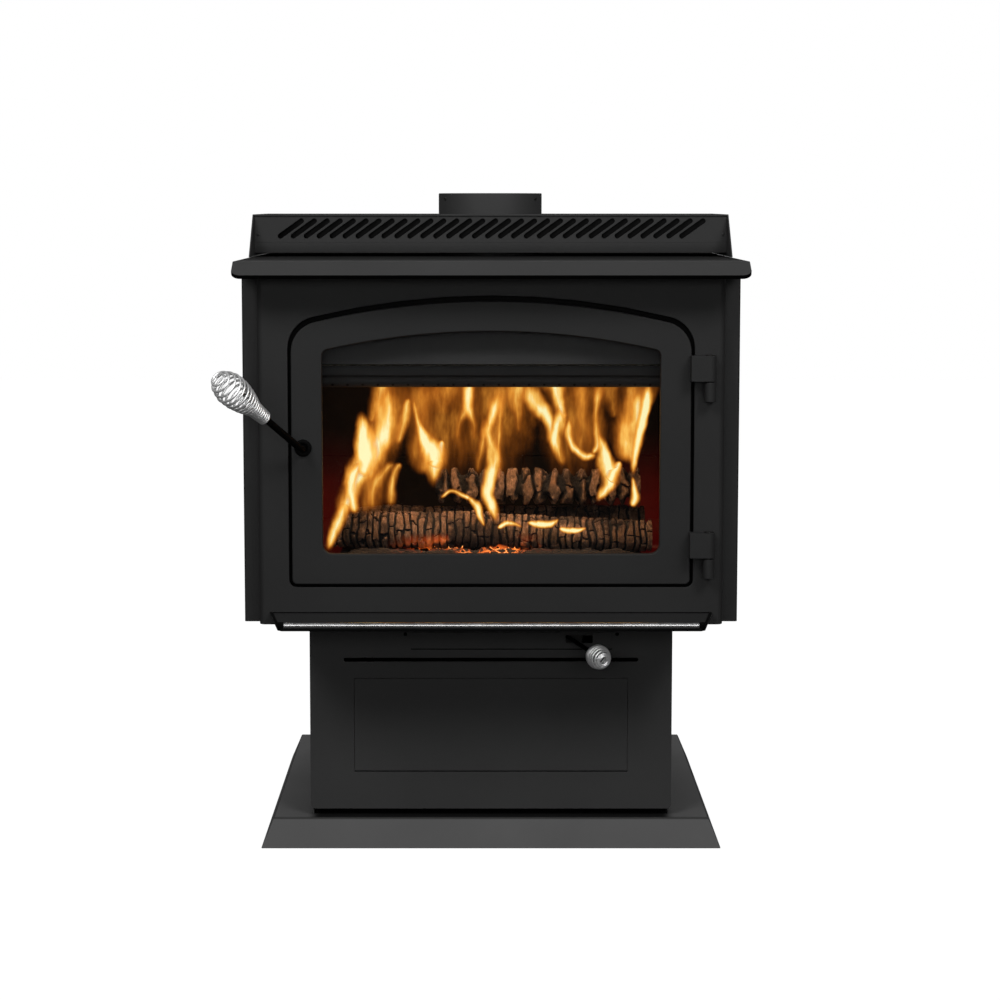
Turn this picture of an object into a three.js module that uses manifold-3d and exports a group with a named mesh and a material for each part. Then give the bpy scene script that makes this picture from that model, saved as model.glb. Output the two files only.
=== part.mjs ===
// A free-standing wood burning stove on a pedestal, with an arched glass door, an ash drawer
// and a raised convection deck. Millimetres, +Z up, +X to the right, and the front faces -Y.
// The origin is the centre of the base's underside.
import * as THREE from "three";
import { mergeVertices } from "three/addons/utils/BufferGeometryUtils.js";
import Module from "manifold-3d";

const wasm = await Module();
wasm.setup();

// ---- Driving dimensions ----

const GAP = 0.3; // between pieces that touch
const THROUGH = 1; // how far a cutting tool runs past the face that it cuts

const FIREBOX_PLATE = 6;
const CASING_SHEET = 2;
const BASE_SHEET = 3;

// Heights of the main levels.
const BASE_TOP = 40;
const BODY_BOTTOM = 313.2;
const BODY_TOP = 802;
const TOP_SURFACE = 808.3;
const DECK_TOP = 869.2;
const COLLAR_TOP = 900;

const BASE = { halfWidth: 317, halfDepth: 258.5, sideSlope: 17, rearSlope: 10 };
const STIFFENER = { halfLength: 285, halfWidth: 30, height: 36.5, thickness: 2.5 };

const PEDESTAL = { halfWidth: 247.5, front: -228.7, rear: 228, cornerRadius: 4 };
const PEDESTAL_FRONT = { halfWidth: 250, front: -231, bottom: 49, cornerRadius: 6 };
const AIR_SLOT = { halfWidth: 203, bottom: 256, top: 261.6 };
const LEVER_HOLE = { left: 103, right: 140, bottom: 282.2, top: 293.2 };

const DRAWER = { halfWidth: 188.7, bottom: 102.5, top: 232.4, sideGap: 0.4, topGap: 0.6, bottomGap: 1.5 };
const DRAWER_BOX = { halfWidth: 183, rear: 190, bottom: 105, top: 225, wall: 1.5 };
const RUNNER = { inner: 172, height: 30, front: -226, rear: 215 };

const FIREBOX = { halfWidth: 305, front: -252.7, rear: 281 };
const BODY_FRONT = { halfWidth: 316, front: -259, returnRear: -236, bendRadius: 8 };
const SHIELD = { halfWidth: 338.3, front: -235.7, rear: 288, flangeInner: 311 };
const REAR_SHIELD = { rear: 306, legFront: 288.3 };

const TOP_PLATE = { halfWidth: 344.5, bend: -286, rear: 306, thickness: 6 };
const LIP = { length: 35.6, angle: THREE.MathUtils.degToRad(29.6), cornerRadius: 13 };

const FLUE = { y: 121, innerRadius: 74.5, outerRadius: 77.5, clearance: 1.5 };
const DECK = { halfWidth: 344, front: -20, footFront: -81, rear: 210 };
const LOUVER = { front: -19.5, bottom: 814, crease: 828.7, lipSetBack: 2 };
const LOUVER_SLOT = { count: 32, pitch: 18.735, first: -304, run: 30.3, rise: 21.6 };
const LOUVER_SLOT_RADIUS = 3.85;
const LOUVER_SLOT_LOWER = 838;

const ASH_LIP = { rearHalfWidth: 301, frontHalfWidth: 280.5, front: -376, bottom: 326 };
const ASH_LIP_THICKNESS = 3;
const RAIL = { y: -374, z: 333.4, radius: 4.1, halfLength: 273, postWidth: 7.5 };

// Arched outlines in the front view. The door, its opening and its seals all follow the window.
const WINDOW = {
  halfWidth: 228.7,
  bottom: 410.7,
  apex: 713.6,
  archRadius: 1012,
  topCorner: 9,
  bottomCorner: 13,
};
const DOOR = {
  halfWidth: 270.3,
  bottom: 369.1,
  apex: 754.2,
  archRadius: 1012,
  topCorner: 41,
  bottomCorner: 7,
};
const DOOR_OPENING = {
  halfWidth: 274.8,
  bottom: 364.6,
  apex: 761.7,
  archRadius: 1016,
  topCorner: 44,
  bottomCorner: 10,
};
const DOOR_FRONT = -262;
const DOOR_THICKNESS = 12;
const GLASS_GASKET = { inner: 2, outer: 12, thickness: 2 };
const GLASS = { overlap: 12, thickness: 5 };
const RETAINER = { inner: 3, wallInner: 14.5, outer: 18, thickness: 2.5 };
const DOOR_GASKET = { inner: 30.9, outer: 39.9, thickness: 8.7 };
const JAMB = { front: -240.7, thickness: 3, margin: 34.8 };

const HINGE = { x: 294.6, y: -272, barrelRadius: 8, pinRadius: 4, boreRadius: 4.3 };
const HINGE_BRACKET = { height: 26, webHalfWidth: 6.5 };
const HINGE_KNUCKLE = { height: 34.6, armLeft: 268.5, radius: 8.4 };
const HINGE_LEVELS = { upper: 619.4, lower: 379.7 }; // undersides of the fixed brackets

const HANDLE = { x: -254.4, z: 555.9, rodRadius: 4.75, boreRadius: 5.05, stub: 22 };
const HANDLE_DIRECTION = new THREE.Vector3(-0.524, -0.638, 0.5645).normalize();
const HANDLE_COIL = { start: 82, rodDepth: 20, wire: 3.2 };
// Distance from the coil's root and outer radius of the wound handle.
const HANDLE_COIL_PROFILE = [
  [0, 9.6],
  [26, 11.6],
  [47, 18.1],
  [63, 21.3],
  [80, 22],
  [95, 17.4],
  [103.5, 12],
];
const LATCH_CAM = { length: 24, halfWidth: 4.5, hubRadius: 8, thickness: 5, rest: 80 };

const AIR_CONTROL = { x: 100, y: -214, z: 291.9, rodRadius: 3, boreRadius: 3.3 };
const AIR_CONTROL_DIRECTION = new THREE.Vector3(0.458, -1, -0.139).normalize();
const AIR_COIL = { start: 89, rodDepth: 14, wire: 3 };
const AIR_COIL_PROFILE = [
  [0, 7.5],
  [4.5, 12.2],
  [11, 15.9],
  [18.5, 16.7],
  [26, 14.9],
  [32.5, 10.8],
];
const DAMPER = { halfWidth: 27, halfHeight: 18, front: 24, thickness: 3 };
const INLET_BOX = { left: 70, right: 130, front: -160, rear: -80, bottom: 271 };

const TRAY_TOP = 356.7;
const BRICK = { thickness: 32, top: 620, front: -215 };
const CHUTE = { y: 140, halfWidth: 38, innerHalfWidth: 35 };
const PLUG = { halfWidth: 42, thickness: 5.7, spigotHalfWidth: 33, spigotDepth: 17 };

const AIR_TUBE = { radius: 9.5, bore: 7.5, z: 640, length: 597.4 };
const AIR_TUBE_PLACES = { front: -165, middle: -40, rear: 85 };
const BAFFLE = { front: -187.5, rear: 190, bottom: 650.5, board: 12.5, blanket: 13 };
const AIR_WASH = { front: -228, bottom: 667, top: 770, thickness: 3 };

const LOGS = {
  front: { radius: 28, length: 460, x: 0, y: -109, z: 422 },
  rear: { radius: 27, length: 430, x: 10, y: -32, z: 421 },
  top: { radius: 23, length: 295, x: 67, y: -74, z: 477 },
};
const EMBERS = { halfWidth: 215, front: -196, rear: 72, height: 15 };

// ---- Materials ----

const material = (color, roughness, metalness) =>
  new THREE.MeshStandardMaterial({ color, roughness, metalness });

const STOVE_PAINT = material(0x2b2b2b, 0.62, 0.3);
const SHEET_STEEL = material(0x3a3a3c, 0.55, 0.6);
const BRIGHT_STEEL = material(0xd8d8d8, 0.22, 1);
const FIREBRICK = material(0xb49a78, 0.95, 0);
const CERAMIC_FIBRE = material(0xdad6cc, 1, 0);
const GASKET_ROPE = material(0x24211e, 1, 0);
const CLEAR_GLASS = new THREE.MeshStandardMaterial({
  color: 0xcfd6d8,
  roughness: 0.05,
  metalness: 0,
  transparent: true,
  opacity: 0.25,
});
const BARK = material(0x5a4536, 0.95, 0);
const EMBER = material(0x7a2a10, 1, 0);

// ---- Building blocks ----

// A closed geometry as a manifold-3d solid.
function toSolid(geometry) {
  const source = geometry.index ? geometry.toNonIndexed() : geometry;
  const bare = new THREE.BufferGeometry();
  bare.setAttribute("position", source.getAttribute("position"));
  const merged = mergeVertices(bare, 1e-3);
  const mesh = new wasm.Mesh({
    numProp: 3,
    vertProperties: merged.attributes.position.array,
    triVerts: new Uint32Array(merged.index.array),
  });
  return new wasm.Manifold(mesh);
}

function toGeometry(solid) {
  const { vertProperties, triVerts } = solid.getMesh();
  const indexed = new THREE.BufferGeometry();
  indexed.setAttribute("position", new THREE.BufferAttribute(vertProperties, 3));
  indexed.setIndex(new THREE.BufferAttribute(triVerts, 1));
  const geometry = indexed.toNonIndexed();
  geometry.computeVertexNormals();
  return geometry;
}

function join(...pieces) {
  const solid = pieces.map(toSolid).reduce((whole, piece) => whole.add(piece));
  return toGeometry(solid);
}

function cut(blank, ...tools) {
  const solid = tools.reduce((rest, tool) => rest.subtract(toSolid(tool)), toSolid(blank));
  return toGeometry(solid);
}

// A box between two limits on each axis.
function block([left, right], [front, rear], [bottom, top]) {
  const geometry = new THREE.BoxGeometry(right - left, rear - front, top - bottom);
  return geometry.translate((left + right) / 2, (front + rear) / 2, (bottom + top) / 2);
}

// A box whose top rectangle differs from its bottom one, each as [halfWidth, front, rear].
function taperedBlock(lower, upper, bottom, top) {
  const geometry = new THREE.BoxGeometry(2, 2, 2);
  const position = geometry.getAttribute("position");
  for (let i = 0; i < position.count; i++) {
    const above = position.getZ(i) > 0;
    const [halfWidth, front, rear] = above ? upper : lower;
    position.setX(i, position.getX(i) * halfWidth);
    position.setY(i, position.getY(i) < 0 ? front : rear);
    position.setZ(i, above ? top : bottom);
  }
  return geometry;
}

const outline = (points) => new THREE.Shape(points.map(([a, b]) => new THREE.Vector2(a, b)));

const extrude = (shape, depth, curveSegments) =>
  new THREE.ExtrudeGeometry(shape, { depth, curveSegments, bevelEnabled: false });

// A plate drawn in the front view, from its front face backwards.
const frontPlate = (shape, front, thickness, curveSegments = 4) =>
  extrude(shape, thickness, curveSegments)
    .rotateX(Math.PI / 2)
    .translate(0, front + thickness, 0);

// A prism drawn in plan, from its underside up.
const planPrism = (shape, bottom, top, curveSegments = 3) =>
  extrude(shape, top - bottom, curveSegments).translate(0, 0, bottom);

// A prism whose section is drawn in the side view as (y, z), running along X.
const crossPrism = (shape, left, right) =>
  extrude(shape, right - left, 3)
    .applyMatrix4(
      new THREE.Matrix4().makeBasis(
        new THREE.Vector3(0, 1, 0),
        new THREE.Vector3(0, 0, 1),
        new THREE.Vector3(1, 0, 0),
      ),
    )
    .translate(left, 0, 0);

// Turns geometry built along +Y so that it runs from a start point in a direction.
function aim(geometry, start, direction) {
  const turn = new THREE.Quaternion().setFromUnitVectors(new THREE.Vector3(0, 1, 0), direction);
  return geometry.applyQuaternion(turn).translate(start.x, start.y, start.z);
}

// A solid cylinder from one point to another.
function rod(start, end, radius, sides = 16) {
  const along = new THREE.Vector3().subVectors(end, start);
  const length = along.length();
  const geometry = new THREE.CylinderGeometry(radius, radius, length, sides);
  return aim(geometry.translate(0, length / 2, 0), start, along.normalize());
}

const vertical = (x, y, bottom, top, radius, sides) =>
  rod(new THREE.Vector3(x, y, bottom), new THREE.Vector3(x, y, top), radius, sides);

// A ring or a turned solid about +Y from [distance, radius] points.
const turned = (profile, sides) =>
  new THREE.LatheGeometry(
    profile.map(([distance, radius]) => new THREE.Vector2(radius, distance)),
    sides,
  );

// A rectangle with rounded corners in the front view.
function roundedRectangle(left, right, bottom, top, radius) {
  const shape = new THREE.Shape();
  const quarter = Math.PI / 2;
  shape.absarc(right - radius, bottom + radius, radius, -quarter, 0);
  shape.absarc(right - radius, top - radius, radius, 0, quarter);
  shape.absarc(left + radius, top - radius, radius, quarter, 2 * quarter);
  shape.absarc(left + radius, bottom + radius, radius, 2 * quarter, 3 * quarter);
  shape.closePath();
  return shape;
}

// An upright rectangle with a shallow arch for its top and rounded corners, grown by a margin.
function archOutline(arch, margin = 0) {
  const halfWidth = arch.halfWidth + margin;
  const bottom = arch.bottom - margin;
  const radius = arch.archRadius + margin;
  const centre = arch.apex + margin - radius;
  const upper = arch.topCorner + margin;
  const lower = Math.max(arch.bottomCorner + margin, 1);
  const cornerX = halfWidth - upper;
  const cornerZ = centre + Math.sqrt((radius - upper) ** 2 - cornerX ** 2);
  const turn = Math.atan2(cornerZ - centre, cornerX);
  const shape = new THREE.Shape();
  shape.absarc(halfWidth - lower, bottom + lower, lower, -Math.PI / 2, 0);
  shape.absarc(cornerX, cornerZ, upper, 0, turn);
  shape.absarc(0, centre, radius, turn, Math.PI - turn);
  shape.absarc(-cornerX, cornerZ, upper, Math.PI - turn, Math.PI);
  shape.absarc(-halfWidth + lower, bottom + lower, lower, Math.PI, 1.5 * Math.PI);
  shape.closePath();
  return shape;
}

// A frame between two margins around the window.
function windowFrame(inner, outer) {
  const shape = archOutline(WINDOW, outer);
  shape.holes.push(archOutline(WINDOW, inner));
  return shape;
}

// A round bar that runs straight, bends at a corner and runs straight again.
function bentRod(start, corner, end, bendRadius, radius, steps) {
  const before = corner.clone().lerp(start, bendRadius / corner.distanceTo(start));
  const after = corner.clone().lerp(end, bendRadius / corner.distanceTo(end));
  const path = new THREE.CurvePath();
  path.add(new THREE.LineCurve3(start, before));
  path.add(new THREE.QuadraticBezierCurve3(before, corner, after));
  path.add(new THREE.LineCurve3(after, end));
  const section = new THREE.Shape().absarc(0, 0, radius, 0, 2 * Math.PI);
  return new THREE.ExtrudeGeometry(section, { extrudePath: path, steps, curveSegments: 5 });
}

function addPart(group, name, geometry, surface) {
  const mesh = new THREE.Mesh(geometry, surface);
  mesh.name = name;
  group.add(mesh);
  return mesh;
}

// ---- Base and pedestal ----

function buildBase() {
  const group = new THREE.Group();
  const footprint = (inset) => [
    BASE.halfWidth - inset,
    -BASE.halfDepth + inset,
    BASE.halfDepth - inset,
  ];
  const deck = (inset) => [
    BASE.halfWidth - BASE.sideSlope - inset,
    -BASE.halfDepth + BASE.sideSlope + inset,
    BASE.halfDepth - BASE.rearSlope - inset,
  ];
  const pan = cut(
    taperedBlock(footprint(0), deck(0), 0, BASE_TOP),
    taperedBlock(footprint(BASE_SHEET), deck(BASE_SHEET), -THROUGH, BASE_TOP - BASE_SHEET),
  );
  addPart(group, "base_pan", pan, STOVE_PAINT);

  const { halfLength, halfWidth, height, thickness } = STIFFENER;
  const channel = outline([
    [-halfWidth, 0],
    [halfWidth, 0],
    [halfWidth, height],
    [halfWidth - thickness, height],
    [halfWidth - thickness, thickness],
    [thickness - halfWidth, thickness],
    [thickness - halfWidth, height],
    [-halfWidth, height],
  ]);
  addPart(group, "base_stiffener", crossPrism(channel, -halfLength, halfLength), SHEET_STEEL);
  return group;
}

// A sheet folded into a U in plan, with two rear corners, open towards the front.
function uSheet(halfWidth, front, rear, radius, thickness) {
  const shape = new THREE.Shape();
  const inner = radius - thickness / 2;
  shape.moveTo(halfWidth, front);
  shape.absarc(halfWidth - radius, rear - radius, radius, 0, Math.PI / 2);
  shape.absarc(radius - halfWidth, rear - radius, radius, Math.PI / 2, Math.PI);
  shape.lineTo(-halfWidth, front);
  shape.lineTo(thickness - halfWidth, front);
  const innerX = halfWidth - thickness - inner;
  const innerY = rear - thickness - inner;
  shape.absarc(-innerX, innerY, inner, Math.PI, Math.PI / 2, true);
  shape.absarc(innerX, innerY, inner, Math.PI / 2, 0, true);
  shape.lineTo(halfWidth - thickness, front);
  shape.closePath();
  return shape;
}

function buildPedestal() {
  const group = new THREE.Group();
  const { halfWidth, front, rear, cornerRadius } = PEDESTAL;
  const wrap = uSheet(halfWidth, front, rear, cornerRadius, CASING_SHEET);
  const top = BODY_BOTTOM - GAP;
  addPart(group, "pedestal_shell", planPrism(wrap, BASE_TOP + GAP, top), STOVE_PAINT);

  const panel = roundedRectangle(
    -PEDESTAL_FRONT.halfWidth,
    PEDESTAL_FRONT.halfWidth,
    PEDESTAL_FRONT.bottom,
    top,
    PEDESTAL_FRONT.cornerRadius,
  );
  const drawerHalf = DRAWER.halfWidth + DRAWER.sideGap;
  const drawerHole = roundedRectangle(
    -drawerHalf,
    drawerHalf,
    DRAWER.bottom - DRAWER.bottomGap,
    DRAWER.top + DRAWER.topGap,
    1,
  );
  const slotRadius = 0.45 * (AIR_SLOT.top - AIR_SLOT.bottom);
  const airSlot = roundedRectangle(
    -AIR_SLOT.halfWidth,
    AIR_SLOT.halfWidth,
    AIR_SLOT.bottom,
    AIR_SLOT.top,
    slotRadius,
  );
  const { left, right, bottom, top: leverTop } = LEVER_HOLE;
  const leverHole = roundedRectangle(left, right, bottom, leverTop, 1.5);
  panel.holes.push(drawerHole, airSlot, leverHole);
  const sheet = frontPlate(panel, PEDESTAL_FRONT.front, CASING_SHEET, 2);
  addPart(group, "pedestal_front", sheet, STOVE_PAINT);

  // Angle runners on the pedestal's side walls, under the drawer's long edges.
  const wall = halfWidth - CASING_SHEET - GAP;
  const runnerTop = DRAWER_BOX.bottom - GAP;
  for (const [name, side] of [["drawer_runner_left", -1], ["drawer_runner_right", 1]]) {
    const angle = outline([
      [side * RUNNER.inner, runnerTop],
      [side * wall, runnerTop],
      [side * wall, runnerTop - RUNNER.height],
      [side * (wall - CASING_SHEET), runnerTop - RUNNER.height],
      [side * (wall - CASING_SHEET), runnerTop - CASING_SHEET],
      [side * RUNNER.inner, runnerTop - CASING_SHEET],
    ]);
    const runner = frontPlate(angle, RUNNER.front, RUNNER.rear - RUNNER.front);
    addPart(group, name, runner, SHEET_STEEL);
  }

  // The blanking disc over the outside-air inlet in the pedestal's back.
  const coverStart = new THREE.Vector3(0, rear + GAP, 190);
  const coverEnd = new THREE.Vector3(0, rear + GAP + CASING_SHEET, 190);
  addPart(group, "outside_air_cover", rod(coverStart, coverEnd, 55, 24), STOVE_PAINT);

  const inlet = INLET_BOX;
  const duct = cut(
    block([inlet.left, inlet.right], [inlet.front, inlet.rear], [inlet.bottom, top]),
    block(
      [inlet.left + CASING_SHEET, inlet.right - CASING_SHEET],
      [inlet.front - THROUGH, inlet.rear - CASING_SHEET],
      [inlet.bottom + CASING_SHEET, top + THROUGH],
    ),
  );
  addPart(group, "air_inlet_box", duct, SHEET_STEEL);
  return group;
}

// ---- Firebox ----

function buildFirebox() {
  const group = new THREE.Group();
  const { halfWidth, front, rear } = FIREBOX;
  const inner = halfWidth - FIREBOX_PLATE;
  const floor = BODY_BOTTOM + FIREBOX_PLATE;
  const ceiling = BODY_TOP - FIREBOX_PLATE;
  const shell = cut(
    block([-halfWidth, halfWidth], [front, rear], [BODY_BOTTOM, BODY_TOP]),
    block([-inner, inner], [front - THROUGH, rear - FIREBOX_PLATE], [floor, ceiling]),
    vertical(0, FLUE.y, ceiling - THROUGH, BODY_TOP + THROUGH, FLUE.innerRadius, 32),
    block(
      [-CHUTE.innerHalfWidth, CHUTE.innerHalfWidth],
      [CHUTE.y - CHUTE.innerHalfWidth, CHUTE.y + CHUTE.innerHalfWidth],
      [BODY_BOTTOM - THROUGH, floor + THROUGH],
    ),
    block(
      [INLET_BOX.left + 5, INLET_BOX.right - 5],
      [INLET_BOX.front + 10, INLET_BOX.rear - 10],
      [BODY_BOTTOM - THROUGH, floor + THROUGH],
    ),
  );
  addPart(group, "firebox_shell", shell, SHEET_STEEL);

  // The inverted tray that carries the floor bricks, with the ash chute through it.
  const liner = inner - GAP;
  const linerRear = rear - FIREBOX_PLATE - GAP;
  const trayFloor = floor + GAP;
  const chuteTop = TRAY_TOP + GAP + BRICK.thickness - GAP;
  const square = (half, bottom, top) =>
    block([-half, half], [CHUTE.y - half, CHUTE.y + half], [bottom, top]);
  const pan = cut(
    block([-liner, liner], [BRICK.front, linerRear], [trayFloor, TRAY_TOP]),
    block(
      [-liner + BASE_SHEET, liner - BASE_SHEET],
      [BRICK.front + BASE_SHEET, linerRear - BASE_SHEET],
      [trayFloor - THROUGH, TRAY_TOP - BASE_SHEET],
    ),
  );
  const tray = cut(
    join(pan, square(CHUTE.halfWidth, trayFloor, chuteTop)),
    square(CHUTE.innerHalfWidth, trayFloor - THROUGH, chuteTop + THROUGH),
  );
  addPart(group, "brick_tray", tray, SHEET_STEEL);

  const brickBottom = TRAY_TOP + GAP;
  const brickFloor = brickBottom + BRICK.thickness;
  const sideInner = liner - BRICK.thickness;
  const floorHalf = sideInner - GAP;
  const backFront = linerRear - BRICK.thickness;
  const floorBricks = cut(
    block([-floorHalf, floorHalf], [BRICK.front, backFront - GAP], [brickBottom, brickFloor]),
    square(CHUTE.halfWidth + GAP, brickBottom - THROUGH, brickFloor + THROUGH),
  );
  addPart(group, "firebrick_floor", floorBricks, FIREBRICK);
  const height = [brickBottom, BRICK.top];
  const depth = [BRICK.front, linerRear];
  addPart(group, "firebrick_left", block([-liner, -sideInner], depth, height), FIREBRICK);
  addPart(group, "firebrick_right", block([sideInner, liner], depth, height), FIREBRICK);
  const back = block([-floorHalf, floorHalf], [backFront, linerRear], height);
  addPart(group, "firebrick_back", back, FIREBRICK);

  // Secondary air tubes carry the baffle board, which the fibre blanket covers.
  for (const [place, y] of Object.entries(AIR_TUBE_PLACES)) {
    const { radius, bore, z, length } = AIR_TUBE;
    const ring = [[0, bore], [0, radius], [length, radius], [length, bore], [0, bore]];
    const start = new THREE.Vector3(-length / 2, y, z);
    const tube = aim(turned(ring, 16), start, new THREE.Vector3(1, 0, 0));
    addPart(group, `air_tube_${place}`, tube, SHEET_STEEL);
  }
  const boardTop = BAFFLE.bottom + BAFFLE.board;
  const across = [-liner, liner];
  const bar = block(across, [BAFFLE.front - 4.5, BAFFLE.front - 0.5], [649, 662]);
  addPart(group, "baffle_front_bar", bar, SHEET_STEEL);
  const board = block(across, [BAFFLE.front, BAFFLE.rear], [BAFFLE.bottom, boardTop]);
  addPart(group, "baffle_board", board, CERAMIC_FIBRE);
  const blanketLevels = [boardTop + GAP, boardTop + GAP + BAFFLE.blanket];
  const blanket = block(across, [BAFFLE.front, BAFFLE.rear], blanketLevels);
  addPart(group, "baffle_blanket", blanket, CERAMIC_FIBRE);
  const wash = block(
    across,
    [AIR_WASH.front, AIR_WASH.front + AIR_WASH.thickness],
    [AIR_WASH.bottom, AIR_WASH.top],
  );
  addPart(group, "air_wash_plate", wash, SHEET_STEEL);

  // The bulkhead that the door's rope gasket seals against.
  const bulkhead = outline([
    [-liner, floor + GAP],
    [liner, floor + GAP],
    [liner, ceiling - GAP],
    [-liner, ceiling - GAP],
  ]);
  bulkhead.holes.push(archOutline(WINDOW, JAMB.margin));
  const jamb = frontPlate(bulkhead, JAMB.front, JAMB.thickness);
  addPart(group, "door_jamb", jamb, STOVE_PAINT);
  const strikeFront = JAMB.front + JAMB.thickness + GAP;
  const strike = block([-liner, -268], [strikeFront, strikeFront + 2], [540, 585]);
  addPart(group, "latch_strike", strike, SHEET_STEEL);
  return group;
}

// ---- Casing ----

function buildCasing() {
  const group = new THREE.Group();
  const height = [BODY_BOTTOM, BODY_TOP];

  // The front panel's vertical edges are bent back, with the door opening cut through it.
  const { halfWidth, front, returnRear, bendRadius } = BODY_FRONT;
  const folded = uSheet(halfWidth, -returnRear, -front, bendRadius, FIREBOX_PLATE);
  const panel = cut(
    planPrism(folded, ...height).rotateZ(Math.PI),
    frontPlate(archOutline(DOOR_OPENING), front - THROUGH, FIREBOX_PLATE + 2 * THROUGH),
  );
  addPart(group, "body_front_panel", panel, STOVE_PAINT);

  for (const [name, side] of [["side_shield_left", -1], ["side_shield_right", 1]]) {
    const angle = outline([
      [side * SHIELD.flangeInner, SHIELD.front],
      [side * (SHIELD.halfWidth - 2), SHIELD.front],
      [side * SHIELD.halfWidth, SHIELD.front + 2],
      [side * SHIELD.halfWidth, SHIELD.rear],
      [side * (SHIELD.halfWidth - CASING_SHEET), SHIELD.rear],
      [side * (SHIELD.halfWidth - CASING_SHEET), SHIELD.front + CASING_SHEET],
      [side * SHIELD.flangeInner, SHIELD.front + CASING_SHEET],
    ]);
    addPart(group, name, planPrism(angle, ...height), STOVE_PAINT);
  }

  const back = uSheet(SHIELD.halfWidth, REAR_SHIELD.legFront, REAR_SHIELD.rear, 4, CASING_SHEET);
  const vents = [];
  for (const level of [360, 740]) {
    for (let x = -220; x <= 220; x += 110) {
      const vent = roundedRectangle(x - 35, x + 35, level, level + 12, 5);
      vents.push(frontPlate(vent, REAR_SHIELD.rear - 10, 20, 1));
    }
  }
  addPart(group, "rear_heat_shield", cut(planPrism(back, ...height), ...vents), STOVE_PAINT);
  return group;
}

// ---- Top plate, convection deck and flue collar ----

function buildTop() {
  const group = new THREE.Group();
  const { halfWidth, bend, rear, thickness } = TOP_PLATE;
  const bottom = TOP_SURFACE - thickness;
  const lipShape = new THREE.Shape();
  const corner = LIP.cornerRadius;
  lipShape.moveTo(-halfWidth, 0);
  lipShape.absarc(corner - halfWidth, corner - LIP.length, corner, Math.PI, 1.5 * Math.PI);
  lipShape.absarc(halfWidth - corner, corner - LIP.length, corner, 1.5 * Math.PI, 2 * Math.PI);
  lipShape.lineTo(halfWidth, 0);
  lipShape.closePath();
  const lip = extrude(lipShape, thickness, 3)
    .translate(0, 0, -thickness)
    .rotateX(LIP.angle)
    .translate(0, bend, TOP_SURFACE);
  const flat = block([-halfWidth, halfWidth], [bend, rear], [bottom, TOP_SURFACE]);
  const levels = [bottom - THROUGH, TOP_SURFACE + THROUGH];
  const holeRadius = FLUE.outerRadius + FLUE.clearance;
  const plate = cut(
    join(flat, lip),
    vertical(0, FLUE.y, ...levels, holeRadius, 32),
    block([-331, -311], [0, 190], levels),
    block([311, 331], [0, 190], levels),
  );
  addPart(group, "top_plate", plate, STOVE_PAINT);

  // The deck is one folded sheet: a top, two sides with raked front edges and a back.
  const deckBottom = TOP_SURFACE + GAP;
  const side = outline([
    [DECK.footFront, deckBottom],
    [DECK.rear, deckBottom],
    [DECK.rear, DECK_TOP],
    [DECK.front, DECK_TOP],
  ]);
  const inside = DECK.halfWidth - CASING_SHEET;
  const deck = cut(
    crossPrism(side, -DECK.halfWidth, DECK.halfWidth),
    block(
      [-inside, inside],
      [DECK.footFront - THROUGH, DECK.rear - CASING_SHEET],
      [deckBottom - THROUGH, DECK_TOP - CASING_SHEET],
    ),
    vertical(0, FLUE.y, DECK_TOP - 10, DECK_TOP + THROUGH, holeRadius, 32),
  );
  addPart(group, "air_deck", deck, STOVE_PAINT);
  addPart(group, "louver_panel", louverPanel(inside - GAP), STOVE_PAINT);

  const { innerRadius, outerRadius, y } = FLUE;
  const length = COLLAR_TOP - BODY_TOP - GAP;
  const ring = [
    [0, innerRadius],
    [0, outerRadius],
    [length, outerRadius],
    [length, innerRadius],
    [0, innerRadius],
  ];
  const start = new THREE.Vector3(0, y, BODY_TOP + GAP);
  const collar = aim(turned(ring, 48), start, new THREE.Vector3(0, 0, 1));
  addPart(group, "flue_collar", collar, STOVE_PAINT);
  return group;
}

// An upright sheet with a row of slanted slots, creased so that its foot leans inwards.
function louverPanel(halfWidth) {
  const face = outline([
    [-halfWidth, LOUVER.crease],
    [halfWidth, LOUVER.crease],
    [halfWidth, DECK_TOP - CASING_SHEET - GAP],
    [-halfWidth, DECK_TOP - CASING_SHEET - GAP],
  ]);
  const slant = Math.atan2(LOUVER_SLOT.rise, LOUVER_SLOT.run);
  const quarter = Math.PI / 2;
  for (let i = 0; i < LOUVER_SLOT.count; i++) {
    const x = LOUVER_SLOT.first + i * LOUVER_SLOT.pitch;
    const upper = LOUVER_SLOT_LOWER + LOUVER_SLOT.rise;
    const slot = new THREE.Path();
    slot.absarc(
      x + LOUVER_SLOT.run,
      upper,
      LOUVER_SLOT_RADIUS,
      slant - quarter,
      slant + quarter,
    );
    slot.absarc(x, LOUVER_SLOT_LOWER, LOUVER_SLOT_RADIUS, slant + quarter, slant + 3 * quarter);
    face.holes.push(slot);
  }
  const rear = LOUVER.front + CASING_SHEET;
  const foot = outline([
    [LOUVER.front, LOUVER.crease + 1],
    [LOUVER.front, LOUVER.crease],
    [LOUVER.front + LOUVER.lipSetBack, LOUVER.bottom],
    [rear + LOUVER.lipSetBack, LOUVER.bottom],
    [rear, LOUVER.crease],
    [rear, LOUVER.crease + 1],
  ]);
  return join(
    frontPlate(face, LOUVER.front, CASING_SHEET, 2),
    crossPrism(foot, -halfWidth, halfWidth),
  );
}

// ---- Ash lip and its rail ----

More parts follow.
